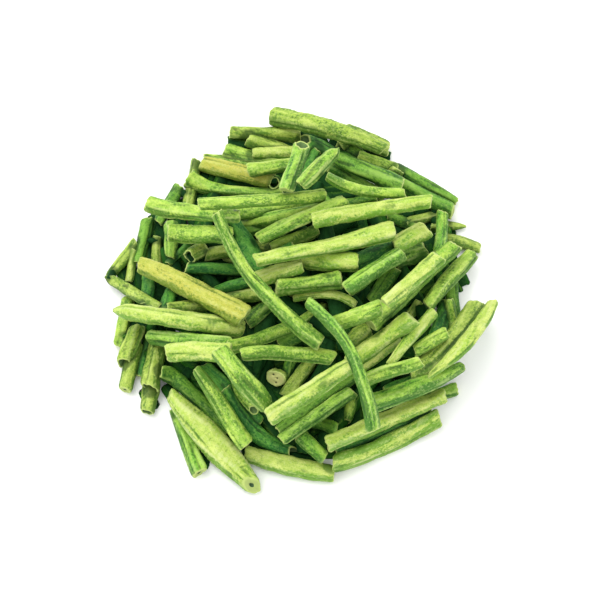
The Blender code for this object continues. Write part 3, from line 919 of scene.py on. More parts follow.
        # A darker green side, partly the pod's own colour and partly painted shade, added to the painted
        # shade
        dark = None if self.length.bean is None else self.length.bean.dark
        if dark is not None:
            depth = dark[0] + (dark[1] - dark[0]) * self.share[:, None]
            aside = np.sign(depth) * np.sin(self.turn)
            shade = np.clip((aside - DARK_SIDE_START) / DARK_SIDE_REACH, 0.0, 1.0)
            self.flank = self.flank + DARK_SIDE * np.abs(depth) * shade
        # Inner lengths are painted near-black as shade; here the value says where that painted shade lifts
        # near the rim
        if self.skin == INNER_SHADE:
            self.flank = self.lit(way)
        self.rings = (self.centres[:, None] + radius[..., None] * way
                      + self.slant()[..., None] * self.axis[:, None])
        self.edge = np.minimum(self.along if not self.tip else self.total, self.total - self.along)
        self.edge = self.edge + 0.0 * self.turn

    def lit(self, way):
        """How far each point of an inner length faces out of the heap, near enough to its rim, where its
        painted shade lifts.
        """
        spots = self.centres[:, None] + self.length.radius * way
        reach = np.linalg.norm(spots[..., :2], axis=-1)
        outward = (way[..., :2] * spots[..., :2]).sum(axis=-1) / np.maximum(reach, 1.0)
        near_rim = np.clip((reach - LIT_MM[0]) / (LIT_MM[1] - LIT_MM[0]), 0.0, 1.0)
        facing = np.clip((outward - LIT_FACING[0]) / (LIT_FACING[1] - LIT_FACING[0]), 0.0, 1.0)
        return near_rim * facing

    def shaded(self, lengths):
        """How much of each point lies close against another length, from 0 to 1, which sets the painted
        shade there.
        """
        spots = self.rings.reshape(-1, 3)
        gap = np.full(len(spots), CONTACT_SHADE_MM[1])
        low = spots.min(axis=0) - CONTACT_SHADE_MM[1]
        high = spots.max(axis=0) + CONTACT_SHADE_MM[1]
        for other in lengths:
            if other is self.length:
                continue
            line = other.smooth_points(other.shares())
            reach = other.radius
            if (line.max(axis=0) + reach < low).any() or (line.min(axis=0) - reach > high).any():
                continue
            line = line[((line > low - reach) & (line < high + reach)).all(axis=1)]
            if len(line):
                apart = np.linalg.norm(spots[:, None, :] - line[None, :, :], axis=2).min(axis=1)
                gap = np.minimum(gap, apart - reach)
        near = (CONTACT_SHADE_MM[1] - gap) / (CONTACT_SHADE_MM[1] - CONTACT_SHADE_MM[0])
        self.contact = np.clip(near, 0.0, 1.0)

    def cap(self):
        """Rings and floors for both ends."""
        start = FACE_CAP if self.face else HOLLOW_CAP if self.hollow == START else PLAIN_CAP
        end = HOLLOW_CAP if self.hollow == END else PITH_CAP if self.pith == END else PLAIN_CAP
        if self.skin == INNER_SHADE:
            start = HIDDEN_CAP
            end = HIDDEN_CAP
        small = TIP_SHARE if self.tip else 1.0
        start = tuple(reversed(start))
        first = self.rings[0] - self.centres[0]
        last = self.rings[-1] - self.centres[-1]
        self.start_rings = [self.centres[0] + share * first - small * out * self.axis[0]
                            for share, out in start]
        self.end_rings = [self.centres[-1] + share * last + out * self.axis[-1] for share, out in end]
        self.start_shares = [share for share, out in start]
        self.end_shares = [share for share, out in end]
        self.start_deep = [out < HOLLOW_FROM_MM for share, out in start]
        self.end_deep = [out < HOLLOW_FROM_MM for share, out in end]
        self.start_seeds = [np.zeros(self.sides) for share, out in start]
        if self.face:
            self.press_seeds()

    def press_seeds(self):
        """Sink the seeds into the end that faces the viewer, and mark them."""
        for ring, share in enumerate(self.start_shares):
            right = share * np.cos(self.turn[0])
            up = share * np.sin(self.turn[0])
            marks = self.start_seeds[ring]
            for out, turn in FACE_SEEDS:
                apart = (right - out * math.cos(turn)) ** 2 + (up - out * math.sin(turn)) ** 2
                marks = np.maximum(marks, np.exp(-apart / FACE_SEED_SHARE ** 2))
            self.start_seeds[ring] = marks
            sunken = FACE_SEED_DEPTH_MM * marks[:, None] * self.axis[0]
            self.start_rings[ring] = self.start_rings[ring] + sunken

    def points(self):
        """All points in order from the start cap's middle to the end cap's middle."""
        rings = self.start_rings + list(self.rings) + self.end_rings
        first = self.start_rings[0].mean(axis=0)
        last = self.end_rings[-1].mean(axis=0)
        return np.concatenate([np.array(rings).reshape(-1, 3), [first, last]])

    def ring_count(self):
        """How many rings the skin and its two caps have."""
        return len(self.start_rings) + len(self.rings) + len(self.end_rings)

    def seed_values(self):
        """Where the seeds show on the end that faces the viewer, for every point."""
        out = np.zeros(self.ring_count() * self.sides + 2)
        marks = np.concatenate(self.start_seeds)
        out[:len(marks)] = marks
        return out

    def ring_values(self, body, cap_value):
        """A value for every point: the skin's own, and one a ring on the two caps."""
        start = [np.full(self.sides, cap_value(share)) for share in self.start_shares]
        end = [np.full(self.sides, cap_value(share)) for share in self.end_shares]
        middle = [cap_value(0.0), cap_value(0.0)]
        return np.concatenate(start + [body.reshape(-1)] + end + [middle])

    def faces(self, first_point):
        """Faces and the material of each, with points counted from first_point."""
        count = self.ring_count()
        ring = np.arange(count - 1)[:, None] * self.sides
        corner = np.arange(self.sides)[None, :]
        after = (corner + 1) % self.sides
        quads = np.stack([ring + corner, ring + after, ring + self.sides + after,
                          ring + self.sides + corner], axis=-1).reshape(-1, 4) + first_point
        start_middle = count * self.sides + first_point
        last_ring = (count - 1) * self.sides + first_point
        fans = [(start_middle, first_point + (j + 1) % self.sides, first_point + j)
                for j in range(self.sides)]
        fans += [(start_middle + 1, last_ring + j, last_ring + (j + 1) % self.sides)
                 for j in range(self.sides)]
        skin = SKINS.index(self.skin)
        end_slot = skin if self.skin == INNER_SHADE else FLESH_SLOT
        start_slot = skin if self.tip else FACE_SLOT if self.face else end_slot
        # The deep rings of an opening take the hollow material, painted dark as the shade inside it
        start_cast = [HOLLOW_SHADE_SLOT if deep else start_slot for deep in self.start_deep]
        end_cast = [HOLLOW_SHADE_SLOT if deep else end_slot for deep in self.end_deep]
        bands = start_cast + [skin] * (len(self.rings) - 1) + end_cast
        cast = np.repeat(bands, self.sides).tolist()
        cast += [start_cast[0]] * self.sides + [end_cast[-1]] * self.sides
        return quads.tolist() + fans, cast


# The materials after the skins, the values stored on each mesh, and the painted shading value of a cut
FLESH_SLOT = len(SKINS)
HOLLOW_SHADE_SLOT = len(SKINS) + 1
FACE_SLOT = len(SKINS) + 2
PAINTED = ("relief", "seam", "flank", "contact", "edge", "tint")
CUT_PAINTED_SHADING = 0.5
INNER_CUT_PAINTED_SHADING = 0.2


def build_piece(name, pods, node, materials):
    """One object from one or more pods, standing for a node of the solid model."""
    shift = laid_heap()[2]
    points, faces, cast = [], [], []
    values = {key: [] for key in (*PAINTED, "place")}
    lengths = laid_heap()[0] + list(laid_heap()[1].values())
    first = 0
    for pod in pods:
        spots = pod.points() + shift
        spots[:, 2] = np.maximum(spots[:, 2], 0.0)
        pod_faces, pod_cast = pod.faces(first)
        points.append(spots)
        faces += pod_faces
        cast += pod_cast
        radius = pod.length.radius
        values["relief"].append(pod.ring_values(pod.relief, lambda share: 0.0))
        values["seam"].append(pod.ring_values(pod.seam, lambda share: 0.0) + pod.seed_values())
        # The painted shading, with a fixed value on the cuts
        cut_flank = INNER_CUT_PAINTED_SHADING if pod.skin == INNER_SHADE else CUT_PAINTED_SHADING
        values["flank"].append(pod.ring_values(pod.flank, lambda share: cut_flank))
        # Painted shade where another length lies close
        pod.shaded(lengths)
        values["contact"].append(pod.ring_values(pod.contact, lambda share: 0.0))
        values["edge"].append(pod.ring_values(pod.edge, lambda share: (share - 1.0) * radius))
        values["tint"].append(np.full(len(spots), pod.tint))
        values["place"].append(pod_places(pod))
        first += len(spots)
    mesh = bpy.data.meshes.new(name)
    mesh.from_pydata((np.concatenate(points) * MM).tolist(), [], faces)
    used = sorted(set(cast))
    for slot in used:
        mesh.materials.append(materials[slot])
    order = {slot: index for index, slot in enumerate(used)}
    mesh.polygons.foreach_set("material_index", [order[slot] for slot in cast])
    mesh.polygons.foreach_set("use_smooth", [True] * len(cast))
    for key in PAINTED:
        layer = mesh.attributes.new(key, "FLOAT", "POINT")
        layer.data.foreach_set("value", np.concatenate(values[key]))
    place = np.concatenate(values["place"]).reshape(-1)
    mesh.attributes.new("place", "FLOAT_VECTOR", "POINT").data.foreach_set("vector", place)
    mesh.validate()
    mesh.update()
    piece = bpy.data.objects.new(name, mesh)
    bpy.context.scene.collection.objects.link(piece)
    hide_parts(node)
    slot = DEEP if pods[0].skin == INNER_SHADE else pods[0].skin
    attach(piece, "root")
    return piece


def pod_places(pod):
    """Each point's place on the pod as if it were straight, in millimetres."""
    radius = pod.length.radius
    body = np.stack([pod.along + 0.0 * pod.turn, radius * np.cos(pod.turn) + 0.0 * pod.along,
                     radius * np.sin(pod.turn) + 0.0 * pod.along], axis=-1)
    start = [share * body[0] for share in pod.start_shares]
    end = [np.stack([body[-1][:, 0], share * body[-1][:, 1], share * body[-1][:, 2]], axis=-1)
           for share in pod.end_shares]
    middles = np.array([[0.0, 0.0, 0.0], [pod.total, 0.0, 0.0]])
    return np.concatenate(start + [body.reshape(-1, 3)] + end + [middles]) + pod.place


class NodeSheet:
    """A small helper that adds shader nodes and links them."""

    def __init__(self, tree):
        self.tree = tree
        self.count = 0

    def add(self, kind, inputs=None, **facts):
        node = self.tree.nodes.new(kind)
        node.location = (180.0 * (self.count % 9), -220.0 * (self.count // 9))
        self.count += 1
        for key, value in facts.items():
            setattr(node, key, value)
        for key, value in (inputs or {}).items():
            if isinstance(value, bpy.types.NodeSocket):
                self.tree.links.new(value, node.inputs[key])
            else:
                node.inputs[key].default_value = value
        return node

    def scaled(self, vector, scale):
        """A place stretched by three scales."""
        return self.add("ShaderNodeVectorMath", {0: vector, 1: scale}, operation="MULTIPLY").outputs[0]

    def noise(self, vector, scale, detail=2.0, roughness=0.5):
        node = self.add("ShaderNodeTexNoise", {"Vector": self.scaled(vector, scale), "Scale": 1.0,
                                               "Detail": detail, "Roughness": roughness})
        return node.outputs["Fac"]

    def ramp(self, value, low, high, to_low=0.0, to_high=1.0):
        """A value moved smoothly from one range to another."""
        node = self.add("ShaderNodeMapRange", {"Value": value, "From Min": low, "From Max": high,
                                               "To Min": to_low, "To Max": to_high},
                        interpolation_type="SMOOTHSTEP")
        return node.outputs["Result"]

    def math(self, operation, first, second):
        return self.add("ShaderNodeMath", {0: first, 1: second}, operation=operation).outputs[0]

    def mix(self, share, first, second):
        node = self.add("ShaderNodeMix", {0: share, 6: first, 7: second}, data_type="RGBA")
        return node.outputs[2]


def group_tree(name, inputs, outputs):
    """A shader node group with named sockets, and a sheet for its nodes."""
    tree = bpy.data.node_groups.new(name, "ShaderNodeTree")
    for title, kind, value in inputs:
        socket = tree.interface.new_socket(title, in_out="INPUT", socket_type=kind)
        if value is not None:
            socket.default_value = value
    for title, kind in outputs:
        tree.interface.new_socket(title, in_out="OUTPUT", socket_type=kind)
    sheet = NodeSheet(tree)
    return tree, sheet, sheet.add("NodeGroupInput").outputs


def finish_group(sheet, values):
    """Link a group's results to its outputs."""
    sheet.add("NodeGroupOutput", values)


# The skins' patterns: how fast each runs along and across a pod, in cycles a millimetre
ZONE_SCALE = (0.08, 0.34, 0.34)
MOTTLE_SCALE = (0.9, 1.2, 1.2)
FLECK_SCALE = (0.8, 1.1, 1.1)
GRAIN_SCALE = (2.0, 2.4, 2.4)
STREAK_SCALE = (0.22, 0.55, 0.55)
CRINKLE_SCALE = (1.0, 1.4, 1.4)
FIBRE_SCALE = (3.2, 3.6, 3.6)
FLESH_SCALE = (0.9, 0.9, 0.9)

# How strongly each pattern colours the skin
MOTTLE_SHARE = 0.85
GRAIN_SHARE = 0.45
FLECK_SHARE = 0.35
CREST_HIGHLIGHT_SHARE = 0.6
FOLD_SHADE_SHARE = 0.75
SEAM_SHARE = 0.5
CONTACT_SHADE_SHARE = 0.75
RIM_SHARE = 0.22
BUMP_STRENGTH = 0.7


def pod_mottle_group():
    """Fine mottling of a dried pod: dark green grain that clumps in zones, and pale flecks."""
    tree, sheet, given = group_tree(
        "pod mottling",
        (("Place", "NodeSocketVector", None), ("Cover", "NodeSocketFloat", 0.4)),
        (("Mottle", "NodeSocketFloat"), ("Flecks", "NodeSocketFloat"), ("Grain", "NodeSocketFloat"),
         ("Zone", "NodeSocketFloat")))
    zone = sheet.noise(given["Place"], ZONE_SCALE, 2.0, 0.5)
    fine = sheet.noise(given["Place"], MOTTLE_SCALE, 3.0, 0.7)
    lifted = sheet.math("ADD", fine, sheet.math("SUBTRACT", zone, 0.5))
    cover = sheet.math("MULTIPLY", sheet.math("SUBTRACT", given["Cover"], 0.5), 0.35)
    mottle = sheet.ramp(sheet.math("ADD", lifted, cover), 0.43, 0.62)
    flecks = sheet.ramp(sheet.noise(given["Place"], FLECK_SCALE, 2.0, 0.6), 0.50, 0.70)
    grain = sheet.ramp(sheet.noise(given["Place"], GRAIN_SCALE, 1.0), 0.52, 0.68)
    finish_group(sheet, {"Mottle": mottle, "Flecks": flecks, "Grain": grain,
                         "Zone": sheet.ramp(zone, 0.4, 0.6)})
    return tree


def pod_fibre_group():
    """Long fibres and fine wrinkles of a dried skin, as a mask and a height."""
    tree, sheet, given = group_tree(
        "pod fibres",
        (("Place", "NodeSocketVector", None),),
        (("Streaks", "NodeSocketFloat"), ("Height", "NodeSocketFloat")))
    streak = sheet.ramp(sheet.noise(given["Place"], STREAK_SCALE, 2.0, 0.5), 0.34, 0.66)
    crinkle = sheet.noise(given["Place"], CRINKLE_SCALE, 3.0, 0.65)
    grain = sheet.noise(given["Place"], FIBRE_SCALE, 2.0, 0.5)
    height = sheet.math("ADD", sheet.math("MULTIPLY", crinkle, 0.8), sheet.math("MULTIPLY", grain, 0.25))
    finish_group(sheet, {"Streaks": streak, "Height": height})
    return tree


def painted(sheet, kind, name):
    """A value stored on the mesh."""
    node = sheet.add("ShaderNodeAttribute", attribute_name=name, attribute_type="GEOMETRY")
    return node.outputs[kind]


def base_material(name, colour):
    """An empty material with a Principled shader, and a sheet for its nodes."""
    material = bpy.data.materials.new(name)
    material.use_nodes = True
    material.diffuse_color = (*colour, 1.0)
    shader = material.node_tree.nodes["Principled BSDF"]
    shader.location = (1900.0, 0.0)
    return material, NodeSheet(material.node_tree), shader


def skin_material(name, settings, mottling, fibres):
    """The dried skin of one tone of pod."""
    skin = SKIN_FINISH[name]
    main = tuple(getattr(settings, f"{name}_skin"))
    material, sheet, shader = base_material(f"{name}_pod_skin", main)
    place = painted(sheet, "Vector", "place")
    relief = painted(sheet, "Fac", "relief")
    tint = painted(sheet, "Fac", "tint")
    fibre = sheet.add("ShaderNodeGroup", node_tree=fibres)
    mottle = sheet.add("ShaderNodeGroup", node_tree=mottling)
    for node in (fibre, mottle):
        material.node_tree.links.new(place, node.inputs["Place"])
    # Painted shade: more dark green grain on the side turned away from the key light
    flank = painted(sheet, "Fac", "flank")
    cover = sheet.math("ADD", skin.cover - 0.25, sheet.math("MULTIPLY", flank, 1.2))
    material.node_tree.links.new(cover, mottle.inputs["Cover"])

    streaks = sheet.ramp(fibre.outputs["Streaks"], 0.0, 1.0, 0.45, 1.0)
    tone = sheet.mix(streaks, (*skin.shade, 1.0), (*main, 1.0))
    other = sheet.math("MULTIPLY", mottle.outputs["Zone"], sheet.math("ADD", tint, 0.1))
    tone = sheet.mix(other, tone, (*skin.other, 1.0))
    for pattern, share, colour in (("Mottle", MOTTLE_SHARE, skin.green), ("Grain", GRAIN_SHARE, skin.green),
                                   ("Flecks", FLECK_SHARE, skin.crest)):
        tone = sheet.mix(sheet.math("MULTIPLY", mottle.outputs[pattern], share), tone, (*colour, 1.0))
    # Painted highlight on the crests of the relief and painted shade in its folds
    tone = sheet.mix(sheet.ramp(relief, 0.1, 0.9, 0.0, CREST_HIGHLIGHT_SHARE), tone, (*skin.crest, 1.0))
    tone = sheet.mix(sheet.ramp(relief, -0.1, -0.9, 0.0, FOLD_SHADE_SHARE), tone, (*skin.fold, 1.0))
    seam = sheet.math("MULTIPLY", painted(sheet, "Fac", "seam"), mottle.outputs["Zone"])
    tone = sheet.mix(sheet.math("MULTIPLY", seam, SEAM_SHARE), tone, (*skin.fold, 1.0))
    # Painted shade where another length lies close
    contact = sheet.ramp(painted(sheet, "Fac", "contact"), 0.0, 1.0, 0.0, CONTACT_SHADE_SHARE)
    tone = sheet.mix(contact, tone, (*skin.fold, 1.0))
    rag = sheet.math("MULTIPLY", sheet.noise(place, FLESH_SCALE, 2.0), 1.1)
    dry = sheet.ramp(sheet.math("ADD", painted(sheet, "Fac", "edge"), rag), 1.7, 0.3)
    rim = 0.0 if name == INNER_SHADE else RIM_SHARE
    tone = sheet.mix(sheet.math("MULTIPLY", dry, rim), tone, (*settings.cut_edge, 1.0))
    # The inner skin's near-black is painted shade; it lifts to mid green where the lengths face out near
    # the rim
    if name == INNER_SHADE:
        bright = sheet.mix(mottle.outputs["Mottle"], (*settings.mid_skin, 1.0),
                           (*SKIN_FINISH[MID].green, 1.0))
        tone = sheet.mix(flank, tone, bright)
    bump = sheet.add("ShaderNodeBump", {"Height": fibre.outputs["Height"], "Strength": BUMP_STRENGTH,
                                        "Distance": settings.fibre_bump})
    links = material.node_tree.links
    links.new(tone, shader.inputs["Base Color"])
    links.new(sheet.ramp(fibre.outputs["Streaks"], 0.0, 1.0, 0.68, 0.52), shader.inputs["Roughness"])
    links.new(bump.outputs["Normal"], shader.inputs["Normal"])
    shader.inputs["Specular IOR Level"].default_value = 0.04 if name == INNER_SHADE else 0.22
    return material


# Linear colours of the seeds, and of a hollow and the end seen face on, at the middle and the rim; the
# hollow's dark colours are painted shade inside the opening
SEED_COLOUR = (0.05, 0.07, 0.02)
HOLLOW_SHADE_COLOURS = ((0.02, 0.06, 0.015), (0.10, 0.18, 0.04))
FACE_COLOURS = ((0.80, 0.80, 0.30), (0.66, 0.76, 0.24))


def flesh_material(settings, name, inner, outer):
    """The dry flesh of a cut end, pale at the rim."""
    material, sheet, shader = base_material(name, tuple(outer))
    place = painted(sheet, "Vector", "place")
    edge = painted(sheet, "Fac", "edge")
    mottle = sheet.noise(place, FLESH_SCALE, 3.0, 0.6)
    depth = sheet.math("ADD", edge, sheet.math("MULTIPLY", mottle, 0.9))
    tone = sheet.mix(sheet.ramp(depth, -1.1, 0.1), (*inner, 1.0), (*outer, 1.0))
    tone = sheet.mix(sheet.ramp(painted(sheet, "Fac", "seam"), 0.25, 0.7), tone, (*SEED_COLOUR, 1.0))
    bump = sheet.add("ShaderNodeBump", {"Height": mottle, "Strength": BUMP_STRENGTH,
                                        "Distance": settings.fibre_bump})
    links = material.node_tree.links
    links.new(tone, shader.inputs["Base Color"])
    links.new(bump.outputs["Normal"], shader.inputs["Normal"])
    shader.inputs["Roughness"].default_value = 0.75
    return material


# One tone's colours, linear, and how much of it the dark green grain covers; crest is the painted highlight
# on ridges and also the pale flecks, fold is the painted shade in folds and where lengths touch and also
# the dark seams
SkinFinish = namedtuple("SkinFinish", "shade other crest fold green cover")
SKIN_FINISH = {
    PALE: SkinFinish((0.27, 0.40, 0.045), (0.34, 0.50, 0.06), (0.53, 0.59, 0.24), (0.05, 0.14, 0.012),
                     (0.10, 0.25, 0.02), 0.17),
    YELLOW: SkinFinish((0.28, 0.33, 0.03), (0.44, 0.41, 0.06), (0.51, 0.53, 0.17), (0.055, 0.12, 0.01),
                       (0.12, 0.21, 0.018), 0.3),
    LIME: SkinFinish((0.12, 0.28, 0.02), (0.24, 0.46, 0.045), (0.48, 0.58, 0.17), (0.02, 0.07, 0.006),
                     (0.05, 0.16, 0.012), 0.42),
    OLIVE: SkinFinish((0.13, 0.24, 0.02), (0.28, 0.42, 0.045), (0.46, 0.54, 0.16), (0.025, 0.06, 0.008),
                      (0.05, 0.14, 0.012), 0.5),
    GREEN: SkinFinish((0.10, 0.24, 0.02), (0.15, 0.40, 0.035), (0.44, 0.58, 0.17), (0.012, 0.06, 0.008),
                      (0.035, 0.125, 0.013), 0.5),
    MID: SkinFinish((0.06, 0.16, 0.012), (0.11, 0.28, 0.02), (0.28, 0.45, 0.08), (0.006, 0.035, 0.004),
                    (0.02, 0.10, 0.01), 0.5),
    DEEP: SkinFinish((0.03, 0.14, 0.015), (0.05, 0.22, 0.03), (0.20, 0.40, 0.07), (0.004, 0.035, 0.006),
                     (0.01, 0.09, 0.014), 0.55),
    # Near-black: painted shade for the lengths inside and under the heap
    INNER_SHADE: SkinFinish((0.007, 0.038, 0.009), (0.012, 0.056, 0.012), (0.020, 0.080, 0.016),
                      (0.004, 0.025, 0.007), (0.007, 0.038, 0.009), 0.55),
}


def colour_property(name, description, default):
    """A linear colour that a user may change."""
    return FloatVectorProperty(name=name, description=description, subtype="COLOR", size=3,
                               min=0.0, max=1.0, default=default)


class BeanHeapSettings(bpy.types.PropertyGroup):
    """The sizes and colours of the heap."""

    seed_swelling: FloatProperty(
        name="Seed swelling", description="How far a seed swells the pod, as a share of its radius",
        default=0.055, min=0.0, max=0.2, subtype="FACTOR")
    seam_depth: FloatProperty(
        name="Seam depth", description="Depth of the pod's two seams, as a share of its radius",
        default=0.07, min=0.0, max=0.3, subtype="FACTOR")
    wrinkle_depth: FloatProperty(
        name="Wrinkle depth", description="Depth of the long wrinkles, as a share of the radius",
        default=0.022, min=0.0, max=0.1, subtype="FACTOR")
    crinkle_depth: FloatProperty(
        name="Crinkle depth", description="Depth of the fine crinkles, as a share of the radius",
        default=0.026, min=0.0, max=0.15, subtype="FACTOR")
    ragged_cut: FloatProperty(
        name="Ragged cut", description="How unevenly a cut end runs round its rim",
        default=0.00012, min=0.0, max=0.001, subtype="DISTANCE", unit="LENGTH")
    # The relief at which the painted highlight on crests and the painted shade in folds are full
    relief_span: FloatProperty(
        name="Relief span", description="The relief that is painted as a full crest or fold",
        default=0.10, min=0.01, max=0.5, subtype="FACTOR")
    sway: FloatProperty(
        name="Sway", description="How far a pod wanders from its smooth bow",
        default=0.00028, min=0.0, max=0.002, subtype="DISTANCE", unit="LENGTH")
    fibre_bump: FloatProperty(
        name="Fibre relief", description="Depth of the skin's fibres and crinkles",
        default=0.0003, min=0.0, max=0.002, subtype="DISTANCE", unit="LENGTH")
    pale_skin: colour_property("Pale skin", "Skin of the palest pods", (0.50, 0.58, 0.14))
    yellow_skin: colour_property("Yellow skin", "Skin of the yellowest pods", (0.44, 0.46, 0.08))
    lime_skin: colour_property("Lime skin", "Skin of the lime green pods", (0.40, 0.56, 0.08))
    olive_skin: colour_property("Olive skin", "Skin of the olive pods", (0.40, 0.51, 0.09))
    green_skin: colour_property("Green skin", "Skin of the mid green pods", (0.30, 0.50, 0.06))
    mid_skin: colour_property("Darker skin", "Skin of the darker pods", (0.17, 0.36, 0.035))
    deep_skin: colour_property("Deep skin", "Skin of the deep green pods", (0.10, 0.31, 0.035))
    # Near-black: painted shade for the lengths inside and under the heap
    inner_skin: colour_property("Inner skin", "Skin of the pods inside the heap", (0.012, 0.060, 0.013))
    cut_edge: colour_property("Cut edge", "Dry rim of a cut end", (0.38, 0.48, 0.12))
    cut_flesh: colour_property("Cut flesh", "Flesh inside a cut end", (0.30, 0.38, 0.10))
    light_power: FloatProperty(
        name="Key light", description="Power of the soft light from the upper left",
        default=9.0, min=0.0, max=500.0, unit="POWER")
    sky_strength: FloatProperty(
        name="Fill light", description="Strength of the even light from all round",
        default=1.5, min=0.0, max=5.0, subtype="FACTOR")
    floor_glow: FloatProperty(
        name="Table light", description="How much the white table glows",
        default=0.02, min=0.0, max=2.0, subtype="FACTOR")
    camera_distance: FloatProperty(
        name="Camera distance", description="From the camera to the heap's middle",
        default=4.0, min=0.5, max=20.0, subtype="DISTANCE", unit="LENGTH")


@functools.lru_cache(maxsize=1)
def pod_materials():
    """The skins, the flesh and the hollow, in slot order."""
    settings = bpy.context.scene.bean_heap
    mottling = pod_mottle_group()
    fibres = pod_fibre_group()
    skins = [skin_material(name, settings, mottling, fibres) for name in SKINS]
    flesh = flesh_material(settings, "cut_pod_flesh", settings.cut_flesh, settings.cut_edge)
    # The hollow's dark flesh is painted shade inside the opening
    hollow = flesh_material(settings, "pod_hollow", *HOLLOW_SHADE_COLOURS)
    face = flesh_material(settings, "pod_face", *FACE_COLOURS)
    return skins + [flesh, hollow, face]


def region_pods(region, fused, fineness):
    """The named pods of one region that lie on top, or that are part of the lower heap."""
    settings = bpy.context.scene.bean_heap
    visible = laid_heap()[1]
    return {name: Pod(name, length, fineness, settings) for name, length in visible.items()
            if name.startswith(region) and length.fused == fused}


def build_region(region):
    """All the pods of one region: the top ones apiece, and its lower ones together."""
    materials = pod_materials()
    for name, pod in region_pods(region, False, TOP_FINENESS).items():
        build_piece(name.replace("bean", "pod"), [pod], name, materials)
    lower = list(region_pods(region, True, LOWER_FINENESS).values())
    build_piece(f"{region}_lower_pods", lower, "lower_beans", materials)


class RegionOperator:
    """What the operators of the five regions share."""

    region = ""

    def execute(self, context):
        build_region(self.region)
        return {"FINISHED"}


class BEANS_OT_far(RegionOperator, bpy.types.Operator):
    """Model the pods on the far side of the heap"""

    bl_idname = "beans.far"
    bl_label = "Far pods"
    region = "far"


class BEANS_OT_left(RegionOperator, bpy.types.Operator):
    """Model the pods on the left of the heap"""

    bl_idname = "beans.left"
    bl_label = "Left pods"
    region = "left"


class BEANS_OT_middle(RegionOperator, bpy.types.Operator):
    """Model the pods in the middle of the heap"""

    bl_idname = "beans.middle"
    bl_label = "Middle pods"
    region = "middle"


class BEANS_OT_right(RegionOperator, bpy.types.Operator):
    """Model the pods on the right of the heap"""

    bl_idname = "beans.right"
    bl_label = "Right pods"
    region = "right"


class BEANS_OT_front(RegionOperator, bpy.types.Operator):
    """Model the pods at the front of the heap"""

    bl_idname = "beans.front"
    bl_label = "Front pods"
    region = "front"


class BEANS_OT_hidden(bpy.types.Operator):
    """Model the pods inside and under the heap"""

    bl_idname = "beans.hidden"
    bl_label = "Hidden pods"

    def execute(self, context):
        settings = context.scene.bean_heap
        lengths = laid_heap()[0] + under_lengths()
        pods = [Pod(f"hidden_{index:02d}", length, HIDDEN_FINENESS, settings)
                for index, length in enumerate(lengths)]
        build_piece("hidden_pods", pods, "lower_beans", pod_materials())
        return {"FINISHED"}


# The stage, in metres apart from the camera's frame and sensor
FLOOR_HALF = 1.5
FLOOR_COLOUR = (0.92, 0.92, 0.92)
LAMP_PLACE = (-0.55, 0.35, 1.25)
LAMP_SIZE = 0.8
FARTHEST_SEEN = 50.0
FRAME_MM = PHOTO_PIXELS * MM_PER_PIXEL
SENSOR_MM = 36.0


class BEANS_OT_stage(bpy.types.Operator):
    """Set the pale floor, the soft light and the camera"""

    bl_idname = "beans.stage"
    bl_label = "Stage"

    def execute(self, context):
        settings = context.scene.bean_heap
        stage_floor(settings)
        stage_light(settings)
        stage_camera(settings)
        return {"FINISHED"}


def stage_floor(settings):
    """A plain white table that is lit a little from below."""
    mesh = bpy.data.meshes.new("floor")
    half = FLOOR_HALF
    corners = [(-half, -half, 0.0), (half, -half, 0.0), (half, half, 0.0), (-half, half, 0.0)]
    mesh.from_pydata(corners, [], [(0, 1, 2, 3)])
    material, sheet, shader = base_material("white_floor", FLOOR_COLOUR)
    shader.inputs["Base Color"].default_value = (*FLOOR_COLOUR, 1.0)
    shader.inputs["Roughness"].default_value = 0.9
    shader.inputs["Emission Color"].default_value = (1.0, 1.0, 1.0, 1.0)
    shader.inputs["Emission Strength"].default_value = settings.floor_glow
    mesh.materials.append(material)
    floor = bpy.data.objects.new("floor", mesh)
    bpy.context.scene.collection.objects.link(floor)


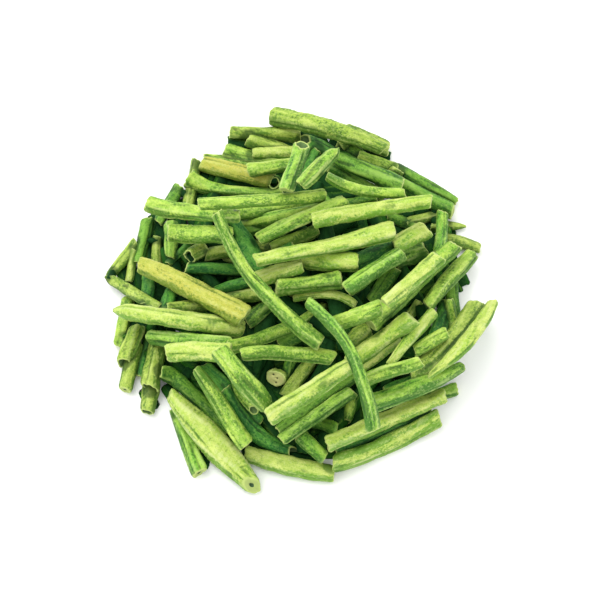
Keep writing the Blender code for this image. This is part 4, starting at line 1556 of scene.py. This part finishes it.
def stage_light(settings):
    """A soft key from the upper left, and even light from all round."""
    key = bpy.data.lights.new("key", "AREA")
    key.energy = settings.light_power
    key.size = LAMP_SIZE
    lamp = bpy.data.objects.new("key", key)
    lamp.location = LAMP_PLACE
    lamp.rotation_euler = (-lamp.location).to_track_quat("-Z", "Y").to_euler()
    bpy.context.scene.collection.objects.link(lamp)
    world = bpy.data.worlds.new("even light")
    world.use_nodes = True
    sky = world.node_tree.nodes["Background"]
    sky.inputs["Color"].default_value = (1.0, 1.0, 1.0, 1.0)
    sky.inputs["Strength"].default_value = settings.sky_strength
    bpy.context.scene.world = world
    bpy.context.scene.view_settings.view_transform = "Standard"


def stage_camera(settings):
    """A long lens at the photograph's angle, on the middle pixel's place."""
    lens = bpy.data.cameras.new("camera")
    lens.sensor_width = SENSOR_MM
    lens.lens = SENSOR_MM * settings.camera_distance / (FRAME_MM * MM)
    lens.clip_end = FARTHEST_SEEN
    camera = bpy.data.objects.new("camera", lens)
    target = Vector(laid_heap()[2] * MM)
    camera.location = target + Vector(VIEWER_WAY) * settings.camera_distance
    camera.rotation_euler = (math.radians(90.0 - VIEW_ELEVATION_DEG), 0.0, 0.0)
    bpy.context.scene.collection.objects.link(camera)
    bpy.context.scene.camera = camera


class BEANS_PT_panel(bpy.types.Panel):
    """The heap's sizes, colours and pieces"""

    bl_label = "Bean heap"
    bl_idname = "BEANS_PT_panel"
    bl_space_type = "VIEW_3D"
    bl_region_type = "UI"
    bl_category = "Bean heap"

    def draw(self, context):
        settings = context.scene.bean_heap
        for name in settings.bl_rna.properties.keys():
            if name not in ("rna_type", "name"):
                self.layout.prop(settings, name)
        for operator in OPERATORS:
            self.layout.operator(operator.bl_idname)


OPERATORS = (BEANS_OT_far, BEANS_OT_left, BEANS_OT_middle, BEANS_OT_right, BEANS_OT_front,
             BEANS_OT_hidden, BEANS_OT_stage)
CLASSES = (BeanHeapSettings, *OPERATORS, BEANS_PT_panel)


def register():
    for each in CLASSES:
        bpy.utils.register_class(each)
    bpy.types.Scene.bean_heap = PointerProperty(type=BeanHeapSettings)


def unregister():
    del bpy.types.Scene.bean_heap
    for each in reversed(CLASSES):
        bpy.utils.unregister_class(each)


def main():
    register()
    bpy.ops.beans.far()
    bpy.ops.beans.left()
    bpy.ops.beans.middle()
    bpy.ops.beans.right()
    bpy.ops.beans.front()
    bpy.ops.beans.hidden()
    bpy.ops.beans.stage()
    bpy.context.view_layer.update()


if __name__ == "__main__":
    main()
